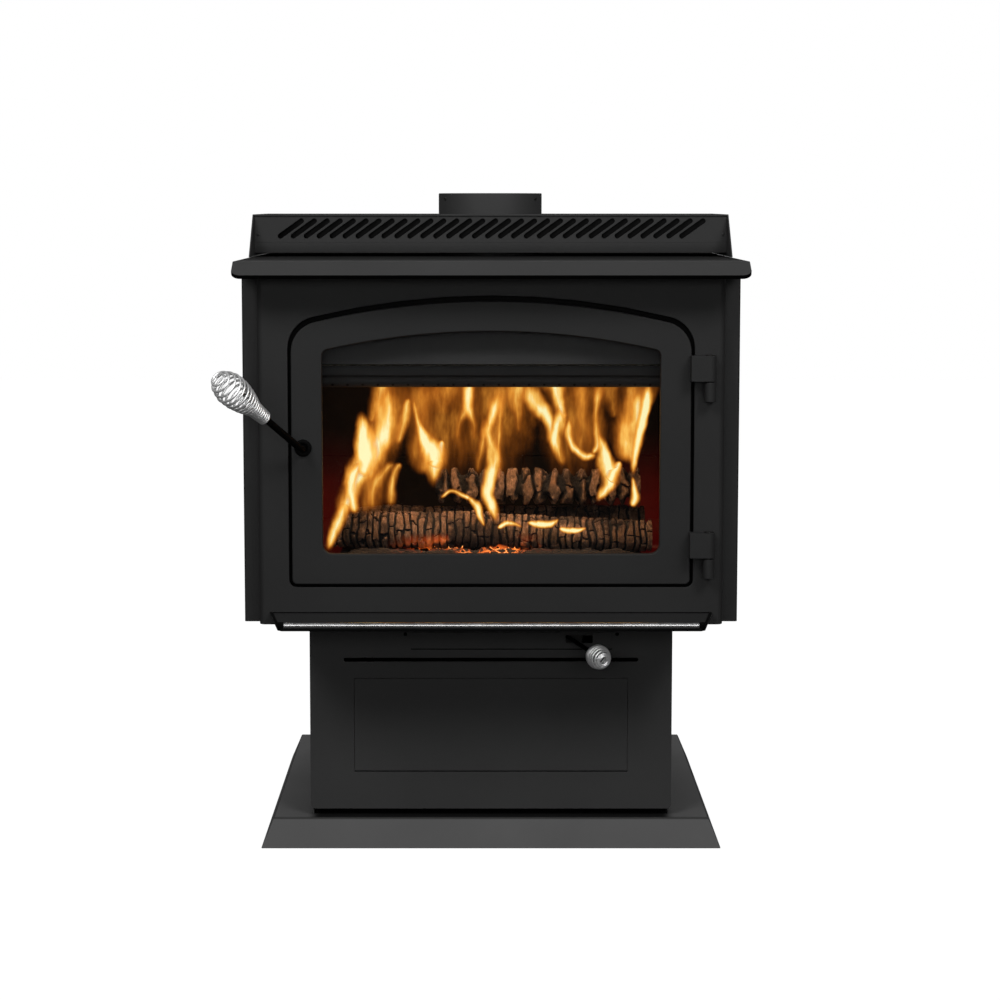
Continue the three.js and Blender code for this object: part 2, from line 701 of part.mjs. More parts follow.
function buildAshLip() {
  const group = new THREE.Group();
  const rear = BODY_FRONT.front - GAP;
  const top = ASH_LIP.bottom + ASH_LIP_THICKNESS;
  const shelf = planPrism(
    outline([
      [-ASH_LIP.rearHalfWidth, rear],
      [-ASH_LIP.frontHalfWidth - 1, ASH_LIP.front + 6],
      [-ASH_LIP.frontHalfWidth + 5, ASH_LIP.front],
      [ASH_LIP.frontHalfWidth - 5, ASH_LIP.front],
      [ASH_LIP.frontHalfWidth + 1, ASH_LIP.front + 6],
      [ASH_LIP.rearHalfWidth, rear],
    ]),
    ASH_LIP.bottom,
    top,
  );
  const inner = RAIL.halfLength + GAP;
  const post = (left, right) =>
    block(
      [left, right],
      [RAIL.y - RAIL.radius, RAIL.y + RAIL.radius],
      [ASH_LIP.bottom, RAIL.z + RAIL.radius],
    );
  const outer = inner + RAIL.postWidth;
  const lip = join(shelf, post(inner, outer), post(-outer, -inner));
  addPart(group, "ash_lip", lip, STOVE_PAINT);

  const end = (side) => new THREE.Vector3(side * RAIL.halfLength, RAIL.y, RAIL.z);
  addPart(group, "ash_lip_rail", rod(end(-1), end(1), RAIL.radius, 12), BRIGHT_STEEL);
  return group;
}

// ---- Logs and embers ----

function buildFire() {
  const group = new THREE.Group();
  const axis = ({ length, x, y, z }) => [
    new THREE.Vector3(x - length / 2, y, z),
    new THREE.Vector3(x + length / 2, y, z),
  ];
  for (const [place, log] of Object.entries(LOGS)) {
    addPart(group, `log_${place}`, rod(...axis(log), log.radius, 12), BARK);
  }

  const bed = TRAY_TOP + BRICK.thickness + 2 * GAP;
  const { halfWidth, front, rear, height } = EMBERS;
  const mound = outline([
    [front, bed],
    [rear, bed],
    [rear - 20, bed + height],
    [front + 45, bed + height],
    [front + 12, bed + 0.6 * height],
  ]);
  const hollow = (log) => rod(...axis({ ...log, length: 600 }), log.radius + 2 * GAP, 12);
  const embers = cut(
    crossPrism(mound, -halfWidth, halfWidth),
    hollow(LOGS.front),
    hollow(LOGS.rear),
  );
  addPart(group, "ember_bed", embers, EMBER);
  return group;
}

// ---- Hinges ----

// Fixed bracket, pin and moving knuckle of one hinge, from the bracket's underside up.
function buildHinge(place, bottom, fixed, moving) {
  const { x, y, barrelRadius, pinRadius, boreRadius } = HINGE;
  const bracketTop = bottom + HINGE_BRACKET.height;
  const knuckleBottom = bracketTop + 1.5;
  const knuckleTop = knuckleBottom + HINGE_KNUCKLE.height;
  const web = HINGE_BRACKET.webHalfWidth;
  const bracket = cut(
    join(
      vertical(x, y, bottom, bracketTop, barrelRadius, 20),
      block([x - web, x + web], [y, BODY_FRONT.front - GAP], [bottom, bracketTop]),
    ),
    vertical(x, y, bottom - THROUGH, bracketTop + THROUGH, boreRadius, 16),
  );
  addPart(fixed, `hinge_bracket_${place}`, bracket, STOVE_PAINT);

  const head = vertical(x, y, knuckleTop + GAP, knuckleTop + 1.6, 6.5, 16);
  const shank = vertical(x, y, bottom - 1.5, knuckleTop + 1, pinRadius, 16);
  addPart(fixed, `hinge_pin_${place}`, join(head, shank), SHEET_STEEL);

  const levels = [knuckleBottom, knuckleTop];
  const { armLeft, radius } = HINGE_KNUCKLE;
  const knuckle = cut(
    join(
      vertical(x, y, ...levels, radius, 20),
      block([armLeft, x], [y - radius + 0.4, DOOR_FRONT - GAP], levels),
    ),
    vertical(x, y, knuckleBottom - THROUGH, knuckleTop + THROUGH, boreRadius, 16),
  );
  addPart(moving, `hinge_knuckle_${place}`, knuckle, STOVE_PAINT);
}

// ---- Door ----

function buildDoor() {
  const group = new THREE.Group();
  const leaf = archOutline(DOOR);
  const shaftHole = new THREE.Path();
  shaftHole.absarc(HANDLE.x, HANDLE.z, HANDLE.boreRadius + 2 * GAP, 0, 2 * Math.PI);
  leaf.holes.push(archOutline(WINDOW), shaftHole);
  addPart(group, "door_frame", frontPlate(leaf, DOOR_FRONT, DOOR_THICKNESS), STOVE_PAINT);

  const back = DOOR_FRONT + DOOR_THICKNESS + GAP;
  const seal = windowFrame(GLASS_GASKET.inner, GLASS_GASKET.outer);
  addPart(group, "glass_gasket", frontPlate(seal, back, GLASS_GASKET.thickness, 3), GASKET_ROPE);

  const glassFront = back + GLASS_GASKET.thickness + GAP;
  const pane = frontPlate(archOutline(WINDOW, GLASS.overlap), glassFront, GLASS.thickness);
  addPart(group, "door_glass", pane, CLEAR_GLASS);

  const retainerFace = glassFront + GLASS.thickness + GAP;
  const retainerRear = retainerFace + RETAINER.thickness;
  const depth = retainerRear - back;
  const retainer = cut(
    frontPlate(archOutline(WINDOW, RETAINER.outer), back, depth),
    frontPlate(
      archOutline(WINDOW, RETAINER.wallInner),
      back - THROUGH,
      retainerFace - back + THROUGH,
    ),
    frontPlate(archOutline(WINDOW, RETAINER.inner), back - THROUGH, depth + 2 * THROUGH),
  );
  addPart(group, "glass_retainer", retainer, SHEET_STEEL);

  const rope = windowFrame(DOOR_GASKET.inner, DOOR_GASKET.outer);
  addPart(group, "door_gasket", frontPlate(rope, back, DOOR_GASKET.thickness, 3), GASKET_ROPE);

  const bushing = new THREE.Shape().absarc(HANDLE.x, HANDLE.z, 11.6, 0, 2 * Math.PI);
  bushing.holes.push(
    new THREE.Path().absarc(HANDLE.x, HANDLE.z, HANDLE.boreRadius + GAP, 0, 2 * Math.PI),
  );
  const collar = frontPlate(bushing, DOOR_FRONT - GAP - 3.7, 3.7, 10);
  addPart(group, "handle_bushing", collar, STOVE_PAINT);
  return group;
}

// A wound wire grip as a turned shell, open at its tip and tight on its bar at its root.
function coilGrip(profile, bore, wire) {
  const inside = profile.map(([distance, radius]) => [distance, Math.max(radius - wire, bore)]);
  inside[0][1] = bore;
  return turned([inside[0], ...profile, ...inside.reverse()], 16);
}

// ---- Door latch: its group's origin is on the shaft, in the plane of the door's face ----

function buildLatch() {
  const group = new THREE.Group();
  group.position.set(HANDLE.x, DOOR_FRONT, HANDLE.z);
  const corner = new THREE.Vector3(0, -HANDLE.stub, 0);
  const along = (distance) => corner.clone().addScaledVector(HANDLE_DIRECTION, distance);

  const camFront = JAMB.front + JAMB.thickness + GAP + 2 + 0.4 - DOOR_FRONT;
  const camRear = camFront + LATCH_CAM.thickness;
  const nutFront = camRear + GAP;
  const shaftEnd = new THREE.Vector3(0, nutFront + 6, 0);
  const gripEnd = along(HANDLE_COIL.start + HANDLE_COIL.rodDepth - GAP);
  const bar = bentRod(shaftEnd, corner, gripEnd, 9, HANDLE.rodRadius, 30);
  addPart(group, "handle_rod", bar, STOVE_PAINT);

  const grip = coilGrip(HANDLE_COIL_PROFILE, HANDLE.boreRadius, HANDLE_COIL.wire);
  const placed = aim(grip, along(HANDLE_COIL.start), HANDLE_DIRECTION);
  addPart(group, "handle_coil", placed, BRIGHT_STEEL);

  // The cam stands upright in the shape and is turned to its resting angle.
  const { length, halfWidth, hubRadius, thickness, rest } = LATCH_CAM;
  const hub = new THREE.Shape().absarc(0, 0, hubRadius, 0, 2 * Math.PI);
  const arm = outline([
    [0, -halfWidth],
    [length, -halfWidth + 1],
    [length, halfWidth - 1],
    [0, halfWidth],
  ]);
  const bore = rod(
    new THREE.Vector3(0, camFront - THROUGH, 0),
    new THREE.Vector3(0, camRear + THROUGH, 0),
    HANDLE.boreRadius,
  );
  const blank = join(
    frontPlate(hub, camFront, thickness, 6),
    frontPlate(arm, camFront, thickness),
  );
  const cam = addPart(group, "latch_cam", cut(blank, bore), SHEET_STEEL);
  cam.rotation.y = -THREE.MathUtils.degToRad(rest);

  const nutStart = new THREE.Vector3(0, nutFront, 0);
  const nutEnd = new THREE.Vector3(0, nutFront + 5, 0);
  const nut = cut(
    rod(nutStart, nutEnd, 9.5, 6),
    rod(
      new THREE.Vector3(0, nutFront - THROUGH, 0),
      new THREE.Vector3(0, nutFront + 5 + THROUGH, 0),
      HANDLE.boreRadius,
    ),
  );
  addPart(group, "latch_nut", nut, SHEET_STEEL);
  return group;
}

// ---- Air control: its group's origin is where the bar bends, just behind the panel ----

function buildAirControl() {
  const group = new THREE.Group();
  group.position.set(AIR_CONTROL.x, AIR_CONTROL.y, AIR_CONTROL.z);
  const corner = new THREE.Vector3(0, 0, 0);
  const along = (distance) => AIR_CONTROL_DIRECTION.clone().multiplyScalar(distance);
  const innerEnd = new THREE.Vector3(0, DAMPER.front + DAMPER.thickness + 4, 0);
  const gripEnd = along(AIR_COIL.start + AIR_COIL.rodDepth - GAP);
  const bar = bentRod(innerEnd, corner, gripEnd, 6, AIR_CONTROL.rodRadius, 24);
  addPart(group, "air_control_rod", bar, STOVE_PAINT);

  const grip = coilGrip(AIR_COIL_PROFILE, AIR_CONTROL.boreRadius, AIR_COIL.wire);
  const placed = aim(grip, along(AIR_COIL.start), AIR_CONTROL_DIRECTION);
  addPart(group, "air_control_coil", placed, BRIGHT_STEEL);

  const { halfWidth, halfHeight, front, thickness } = DAMPER;
  const plate = cut(
    block([-halfWidth, halfWidth], [front, front + thickness], [-halfHeight, halfHeight]),
    rod(
      new THREE.Vector3(0, front - THROUGH, 0),
      new THREE.Vector3(0, front + thickness + THROUGH, 0),
      AIR_CONTROL.boreRadius,
    ),
  );
  addPart(group, "air_damper_plate", plate, SHEET_STEEL);
  return group;
}

// ---- Ash drawer and ash plug ----

function buildAshDrawer() {
  const group = new THREE.Group();
  const { halfWidth, bottom, top } = DRAWER;
  const face = roundedRectangle(-halfWidth, halfWidth, bottom, top, 1.5);
  const front = frontPlate(face, PEDESTAL_FRONT.front, CASING_SHEET, 2);
  addPart(group, "ash_drawer_front", front, STOVE_PAINT);

  const boxFront = PEDESTAL_FRONT.front + CASING_SHEET + GAP;
  const { halfWidth: half, rear, bottom: floor, top: rim, wall } = DRAWER_BOX;
  const box = cut(
    block([-half, half], [boxFront, rear], [floor, rim]),
    block(
      [wall - half, half - wall],
      [boxFront + wall, rear - wall],
      [floor + wall, rim + THROUGH],
    ),
  );
  addPart(group, "ash_drawer_box", box, SHEET_STEEL);
  return group;
}

function buildAshPlug() {
  const group = new THREE.Group();
  group.position.set(0, CHUTE.y, TRAY_TOP + BRICK.thickness + 2 * GAP);
  const { halfWidth, thickness, spigotHalfWidth, spigotDepth } = PLUG;
  const square = (half, bottom, top) => block([-half, half], [-half, half], [bottom, top]);
  const eye = cut(
    block([-3, 3], [-13, 13], [thickness - 1, thickness + 18]),
    rod(new THREE.Vector3(-5, 0, thickness + 9), new THREE.Vector3(5, 0, thickness + 9), 5, 12),
  );
  const plug = join(
    square(halfWidth, 0, thickness),
    square(spigotHalfWidth, -spigotDepth, 1),
    eye,
  );
  addPart(group, "ash_plug", plug, SHEET_STEEL);
  return group;
}

// ---- Assembly ----

const stove = new THREE.Group();
const hinges = new THREE.Group();
const door = buildDoor();
for (const [place, bottom] of Object.entries(HINGE_LEVELS)) {
  buildHinge(place, bottom, hinges, door);
}
door.add(buildLatch());
stove.add(buildBase(), buildPedestal(), buildFirebox(), buildCasing(), buildTop());
stove.add(buildAshLip(), buildFire(), hinges, door);
stove.add(buildAirControl(), buildAshDrawer(), buildAshPlug());

export default stove;
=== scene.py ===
"""A wood burning stove: its finishes, fine shapes, fire, studio and camera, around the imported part.

Lengths in tables and shape functions are millimetres in the part's frame: +Z up, front at -Y.
"""

import math
from contextlib import contextmanager

import bmesh
import bpy
from mathutils import Matrix, Vector, noise


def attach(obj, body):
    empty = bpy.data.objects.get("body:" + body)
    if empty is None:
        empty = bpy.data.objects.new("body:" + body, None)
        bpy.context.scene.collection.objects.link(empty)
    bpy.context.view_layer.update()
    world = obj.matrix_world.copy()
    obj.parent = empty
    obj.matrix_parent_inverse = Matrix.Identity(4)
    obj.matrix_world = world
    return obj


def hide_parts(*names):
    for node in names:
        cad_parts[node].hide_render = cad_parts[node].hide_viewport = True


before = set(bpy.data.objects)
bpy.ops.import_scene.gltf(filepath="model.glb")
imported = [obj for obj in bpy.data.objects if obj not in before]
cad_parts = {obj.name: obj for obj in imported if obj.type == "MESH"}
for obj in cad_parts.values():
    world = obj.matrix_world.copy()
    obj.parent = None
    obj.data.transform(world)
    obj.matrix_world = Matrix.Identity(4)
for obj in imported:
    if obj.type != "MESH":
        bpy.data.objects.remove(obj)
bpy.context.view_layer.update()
MM = 0.001

# ---- Dimensions shared with the part ----

WINDOW = {"half": 228.7, "bottom": 410.7, "apex": 713.6, "arch": 1012, "upper": 9, "lower": 13}
DOOR = {"half": 270.3, "bottom": 369.1, "apex": 754.2, "arch": 1012, "upper": 41, "lower": 7}
DOOR_FRONT = -262
DOOR_THICKNESS = 12
DOOR_EDGE = 1.5
DOOR_GAP_SHADE_Y = -249.5
# Each rope in the door: its node, margin round the window, y and radius.
ROPES = {"door_rope": ("door_gasket", 35.4, -245.4, 4.4), "glass_rope": ("glass_gasket", 7, -248.7, 1.0)}
HANDLE = Vector((-254.4, -262, 555.9))
HANDLE_CORNER = Vector((-254.4, -284, 555.9))
HANDLE_AIM = Vector((-0.524, -0.638, 0.5645)).normalized()
HANDLE_HOLE = 5.65
HANDLE_ROD = 4.75
HANDLE_COIL_ROOT = 82
HANDLE_COIL_SHAPE = [(0, 9.6), (26, 11.6), (47, 18.1), (63, 21.3), (80, 22), (95, 17.4), (103, 12)]
HANDLE_COIL_PITCH = [(0, 3.6), (24, 4.2), (47, 6.6), (70, 8.4), (104, 8.4)]
HANDLE_WIRE = 1.6
HANDLE_TAIL = (0.9, 6.5, 1.0)
HANDLE_ROD_END = -224
HANDLE_BEND = 9
ROD_IN_COIL = 19
AIR_CORNER = Vector((100, -214, 291.9))
AIR_AIM = Vector((0.458, -1, -0.139)).normalized()
AIR_ROD = 3
AIR_COIL_ROOT = 89
AIR_COIL_SHAPE = [(0, 7.5), (4.5, 12.2), (11, 15.9), (18.5, 16.7), (26, 14.9), (32, 11)]
AIR_COIL_PITCH = [(0, 3.9), (32, 4.1)]
AIR_COVER = {"left": -110, "right": 166.7, "bottom": 274.4, "top": 297, "front": -232}
LEVER_HOLE = {"left": 103, "right": 140, "bottom": 282.2, "top": 293.2}
AIR_WIRE = 1.5
AIR_TAIL = (2.4, 5.0, -0.5)
AIR_ROD_INSIDE = 31
AIR_ROD_IN_COIL = 13
AIR_BEND = 6
FLUE = {"y": 121, "inner": 74.5, "outer": 77.5, "bottom": 802.3, "top": 900, "screws": 892}
TOP_PLATE = {"half": 344.5, "bend": -286, "rear": 306, "top": 808.3, "thickness": 6}
VENT = {"lefts": (-331, 311), "width": 20, "length": 190}
LIP = {"length": 35.6, "angle": math.radians(29.6), "corner": 13, "bend_radius": 9}
LOUVRE = {"half": 341.7, "front": -19.5, "crease": 828.7, "top": 866.9, "foot": 814, "screws": (336, 840.5)}
SLOTS = {"count": 32, "pitch": 18.735, "first": -304, "run": 30.3, "rise": 21.6, "low": 838}
SLOT_RADIUS = 3.85
TAB = {"below": 2.5, "above": 3.5, "margin": 0.6, "depth": 12, "sheet": 1.2}
RAIL = {"half": 273, "y": -374, "z": 333.4, "radius": 4.1, "post": 7.5}
ASH_LIP = {"rear_half": 301, "rear": -259.3, "front_half": 280.5, "front": -376, "bottom": 326, "top": 329}
BRICK_TOP = 620
BRICK_BOTTOM = 357
BRICK_FACE = (116, 132)
BRICK_EDGE = 1.6
FIREBOX = {"inner": 266.7, "outer": 298.7, "front": -215, "back": 274.7}
TUBES = {"air_tube_front": -165, "air_tube_middle": -40, "air_tube_rear": 85}
TUBE = {"radius": 9.5, "bore": 7.5, "z": 640, "half": 298.7}
JETS = {"count": 26, "first": -262, "pitch": 21, "turn": 0.6}
JET_SHAPE = [(0, 1.0), (0.6, 1.9), (0.75, 1.9), (0.7, 1.6)]
BED = {"left": -214, "front": -195, "width": 428, "depth": 266, "floor": 390}
FORWARD = (0, -1, 0)

# ---- Clean-up of meshes, in degrees and millimetres ----

BEVEL_ANGLE = 34
PLANAR_ANGLE = 0.6
CAD_WELD = 0.01
PLATE_WELD = 0.002


# ---- Materials ----


class Look:
    """A Principled material whose inputs come from procedural nodes in the object's coordinates."""

    def __init__(self, name, **constants):
        self.material = bpy.data.materials.new(name)
        self.material.use_nodes = True
        self.tree = self.material.node_tree
        self.shader = self.tree.nodes["Principled BSDF"]
        self.place = self.tree.nodes.new("ShaderNodeTexCoord").outputs["Object"]
        for socket, value in constants.items():
            self.shader.inputs[socket.replace("_", " ")].default_value = value

    def node(self, kind, values=(), **settings):
        made = self.tree.nodes.new("ShaderNode" + kind)
        for key, value in settings.items():
            setattr(made, key, value)
        for socket, value in dict(values).items():
            self.feed(made.inputs[socket], value)
        return made

    def feed(self, socket, value):
        if isinstance(value, bpy.types.NodeSocket):
            self.tree.links.new(value, socket)
        else:
            socket.default_value = value

    def set(self, socket, value):
        self.feed(self.shader.inputs[socket], value)

    def stretched(self, scale, turn=(0, 0, 0)):
        values = {"Vector": self.place, "Scale": scale, "Rotation": turn}
        return self.node("Mapping", values).outputs["Vector"]

    def noise(self, scale, detail=3, rough=0.5, vector=None):
        values = {"Vector": vector or self.place, "Scale": scale, "Detail": detail, "Roughness": rough}
        return self.node("TexNoise", values).outputs["Fac"]

    def cells(self, scale, feature="F1", vector=None):
        values = {"Vector": vector or self.place, "Scale": scale}
        return self.node("TexVoronoi", values, feature=feature).outputs["Distance"]

    def maths(self, operation, a, b=0.0):
        return self.node("Math", {0: a, 1: b}, operation=operation).outputs[0]

    def times(self, a, b):
        return self.maths("MULTIPLY", a, b)

    def remap(self, value, low, high, to_low=0.0, to_high=1.0, smooth=False):
        values = {"Value": value, "From Min": low, "From Max": high, "To Min": to_low, "To Max": to_high}
        kind = "SMOOTHSTEP" if smooth else "LINEAR"
        return self.node("MapRange", values, interpolation_type=kind).outputs["Result"]

    def ramp(self, value, stops):
        made = self.node("ValToRGB", {"Fac": value})
        elements = made.color_ramp.elements
        while len(elements) < len(stops):
            elements.new(0.5)
        for element, (position, colour) in zip(elements, stops):
            element.position = position
            element.color = (*colour, 1)
        return made.outputs["Color"]

    def blend(self, factor, a, b):
        made = self.node("Mix", data_type="RGBA")
        for socket, value in zip(("Factor_Float", "A_Color", "B_Color"), (factor, a, b)):
            found = next(s for s in made.inputs if s.identifier == socket)
            self.feed(found, value)
        return next(s for s in made.outputs if s.identifier == "Result_Color")

    def bump(self, height, strength, distance, under=None):
        values = {"Height": height, "Strength": strength, "Distance": distance * MM}
        if under:
            values["Normal"] = under
        result = self.node("Bump", values).outputs["Normal"]
        self.set("Normal", result)
        return result

    def axis(self, letter):
        """One of the object's own coordinates, in metres."""
        return self.node("SeparateXYZ", {"Vector": self.place}).outputs[letter]

    def attribute(self, name):
        return self.node("Attribute", attribute_name=name)


def grey(value, warmth=0.0):
    return (value * (1 + warmth), value, value * (1 - warmth))


def stove_paint(name, tone, roughness=0.6, shine=0.42, shade=None):
    """Matt high-temperature paint: a fine dry grain, faint clouds and dusty specks."""
    look = Look(name, Specular_IOR_Level=shine)
    clouds = look.noise(7, 4)
    grain = look.noise(1300, 2, 0.6)
    body = look.ramp(clouds, [(0.3, grey(tone * 0.93)), (0.7, grey(tone * 1.07))])
    specks = look.remap(look.cells(420), 0.0, 0.13, 1.0, 0.0)
    dust = look.times(specks, look.remap(look.noise(30, 2), 0.55, 0.75))
    colour = look.blend(look.times(dust, 0.2), body, (0.11, 0.11, 0.11, 1))
    # Where shade gives 0 the colour goes near black: painted shade.
    if shade:
        colour = look.blend(shade(look), (0.002, 0.002, 0.002, 1), colour)
    look.set("Base Color", colour)
    look.set("Roughness", look.remap(grain, 0.3, 0.7, roughness - 0.05, roughness + 0.05))
    waves = look.bump(look.noise(16, 2), 0.06, 1.2)
    look.bump(grain, 0.16, 0.25, waves)
    return look.material


def painted_shade_near_louvre(look):
    """Painted shade: the top plate's flat is darker towards the louvre, where the louvre's foot shadows it.
    """
    return look.remap(look.axis("Y"), -0.29, -0.17, 1.0, 0.22, True)


def base_shade(look):
    """A dark line along the fold and a painted shadow on the strip at the pedestal's toe."""
    level = look.axis("Z")
    above = look.remap(level, 0.0396, 0.04, 0.0, 1.0)
    below = look.remap(level, 0.0368, 0.0374, 1.0, 0.0)
    seam = look.maths("MAXIMUM", above, below)
    aside = look.remap(look.maths("ABSOLUTE", look.axis("X")), 0.238, 0.256, 0.0, 1.0, True)
    behind = look.remap(look.axis("Y"), -0.19, -0.18, 0.0, 1.0)
    slope = look.remap(level, 0.0388, 0.0392, 1.0, 0.0)
    clear = look.maths("MAXIMUM", look.maths("MAXIMUM", aside, behind), slope)
    return look.times(clear, look.maths("ADD", look.times(seam, 0.72), 0.28))


def bare_steel(name, tone, roughness, warmth=0.04):
    """Heat-darkened sheet with rolled streaks and a blotchy oxide."""
    look = Look(name, Metallic=0.55)
    streaks = look.noise(60, 4, 0.6, look.stretched((1, 1, 14)))
    oxide = look.noise(22, 5, 0.6)
    colour = look.ramp(oxide, [(0.35, grey(tone * 0.6, warmth)), (0.68, grey(tone * 1.3, warmth))])
    look.set("Base Color", colour)
    look.set("Roughness", look.remap(streaks, 0.3, 0.7, roughness - 0.08, roughness + 0.1))
    look.bump(streaks, 0.12, 0.3)
    return look.material


def plated_steel(name, tone, roughness, metal=1.0):
    """Plated bar or wire with faint drawing lines."""
    look = Look(name, Metallic=metal)
    lines = look.noise(900, 2, 0.5, look.stretched((0.04, 1, 1)))
    smears = look.noise(40, 3)
    look.set("Base Color", look.ramp(smears, [(0.3, grey(tone * 0.93)), (0.7, grey(tone * 1.07))]))
    look.set("Roughness", look.remap(smears, 0.35, 0.7, roughness - 0.05, roughness + 0.06))
    look.bump(lines, 0.05, 0.05)
    return look.material


def cast_iron():
    look = Look("cast_iron", Metallic=0.4)
    sand = look.noise(650, 3, 0.6)
    look.set("Base Color", look.ramp(look.noise(30, 4), [(0.3, grey(0.012)), (0.7, grey(0.035, 0.1))]))
    look.set("Roughness", look.remap(sand, 0.3, 0.7, 0.6, 0.8))
    look.bump(sand, 0.5, 0.8)
    return look.material


def firebrick():
    """Sooty brick with painted firelight: a dull red glow, low down and towards the sides."""
    look = Look("firebrick", Roughness=0.95)
    grit = look.noise(420, 4, 0.65)
    soot = look.noise(14, 4, 0.6)
    colour = look.ramp(soot, [(0.35, (0.002, 0.0015, 0.0012)), (0.7, (0.01, 0.007, 0.006))])
    look.set("Base Color", colour)
    rise = look.remap(look.axis("Z"), 0.4, 0.54, 1.0, 0.0, True)
    aside = look.remap(look.maths("ABSOLUTE", look.axis("X")), 0.13, 0.25, 0.0, 1.0, True)
    patch = look.times(aside, look.remap(soot, 0.25, 0.75, 0.45, 1.0))
    # The glow is painted firelight, not a lamp.
    look.set("Emission Color", (0.05, 0.0006, 0.0004, 1))
    look.set("Emission Strength", look.times(rise, patch))
    pits = look.remap(look.cells(190), 0.0, 0.35)
    look.bump(look.maths("ADD", grit, look.times(pits, 0.6)), 0.6, 0.9)
    return look.material


def ceramic_fibre():
    look = Look("ceramic_fibre", Roughness=1.0)
    fibres = look.noise(240, 5, 0.7, look.stretched((1, 0.25, 1)))
    look.set("Base Color", look.ramp(fibres, [(0.3, (0.3, 0.27, 0.22)), (0.7, (0.52, 0.49, 0.42))]))
    look.bump(fibres, 0.8, 1.5)
    return look.material


def gasket_rope():
    """Braided rope: two crossing sets of strands."""
    look = Look("gasket_rope", Roughness=0.95)
    one = look.node("TexWave", {"Vector": look.stretched((1, 1, 1), (0, 0.78, 0)), "Scale": 90})
    two = look.node("TexWave", {"Vector": look.stretched((1, 1, 1), (0, -0.78, 0)), "Scale": 90})
    braid = look.times(one.outputs["Fac"], two.outputs["Fac"])
    look.set("Base Color", look.ramp(braid, [(0.0, grey(0.008)), (0.8, grey(0.05, 0.08))]))
    look.bump(braid, 0.8, 1.0)
    return look.material


def clear_glass():
    """Ceramic glass, nearly clear, with a faint patchy film."""
    look = Look("clear_glass", Roughness=0.06)
    film = look.noise(11, 3)
    look.set("Base Color", (0.02, 0.02, 0.02, 1))
    look.set("Alpha", look.remap(film, 0.3, 0.8, 0.03, 0.07))
    look.bump(look.noise(5, 2), 0.02, 0.5)
    return look.material


def hot_middle(look):
    """1 over the middle of the bed, where the fire is alive, 0 over its dark ends."""
    left = look.remap(look.axis("X"), -0.15, -0.06, 0.0, 1.0, True)
    return look.times(left, look.remap(look.axis("X"), 0.01, 0.1, 1.0, 0.0, True))


def charred_wood():
    """Charcoal blocks between black cracks. The mesh's char attribute is 0 in a crack, 1 on a block."""
    look = Look("charred_wood", Roughness=0.95)
    char = look.attribute("char").outputs["Fac"]
    fibre = look.noise(150, 5, 0.65, look.stretched((2.2, 1, 1)))
    patch = look.noise(34, 4, 0.6)
    stops = [(0.28, (0.03, 0.018, 0.01)), (0.55, (0.16, 0.095, 0.058)), (0.75, (0.32, 0.21, 0.14))]
    colour = look.ramp(fibre, stops)
    warm = look.blend(look.remap(patch, 0.5, 0.7, 0.0, 0.6), colour, (0.13, 0.062, 0.026, 1))
    burnt = look.remap(look.noise(26, 4, 0.6), 0.4, 0.56, 0.22, 1.0, True)
    face = look.times(look.remap(char, 0.3, 0.85, 0.0, 1.0, True), burnt)
    look.set("Base Color", look.blend(face, (0.003, 0.0025, 0.002, 1), warm))
    fine = look.cells(260, "DISTANCE_TO_EDGE", look.stretched((1.5, 1, 0.7)))
    cracks = look.remap(fine, 0.0, 0.08)
    look.bump(look.maths("ADD", fibre, cracks), 0.8, 0.8)
    low = look.remap(look.axis("Z"), 0.4, 0.422, 1.0, 0.0, True)
    spots = look.times(look.remap(look.noise(26, 3), 0.5, 0.66), hot_middle(look))
    heat = look.times(low, spots)
    glow = look.ramp(look.noise(180, 3), [(0.3, (0.6, 0.03, 0.002)), (0.7, (1, 0.22, 0.03))])
    look.set("Emission Color", glow)
    look.set("Emission Strength", look.times(heat, 1.3))
    return look.material


def ember_bed():
    look = Look("embers", Roughness=1.0)
    lumps = look.cells(75)
    seams = look.remap(look.cells(75, "DISTANCE_TO_EDGE"), 0.0, 0.12, 1.0, 0.0)
    ash = look.noise(300, 4, 0.6)
    look.set("Base Color", look.ramp(ash, [(0.3, (0.002, 0.0015, 0.0015)), (0.7, (0.016, 0.013, 0.012))]))
    alive = look.times(look.remap(look.noise(18, 3), 0.42, 0.6), hot_middle(look))
    heat = look.times(seams, alive)
    stops = [(0.0, (0.3, 0.01, 0.0)), (0.7, (1, 0.2, 0.02)), (1.0, (1, 0.6, 0.2))]
    look.set("Emission Color", look.ramp(heat, stops))
    look.set("Emission Strength", look.times(heat, 2.0))
    look.bump(lumps, 0.8, 3)
    return look.material


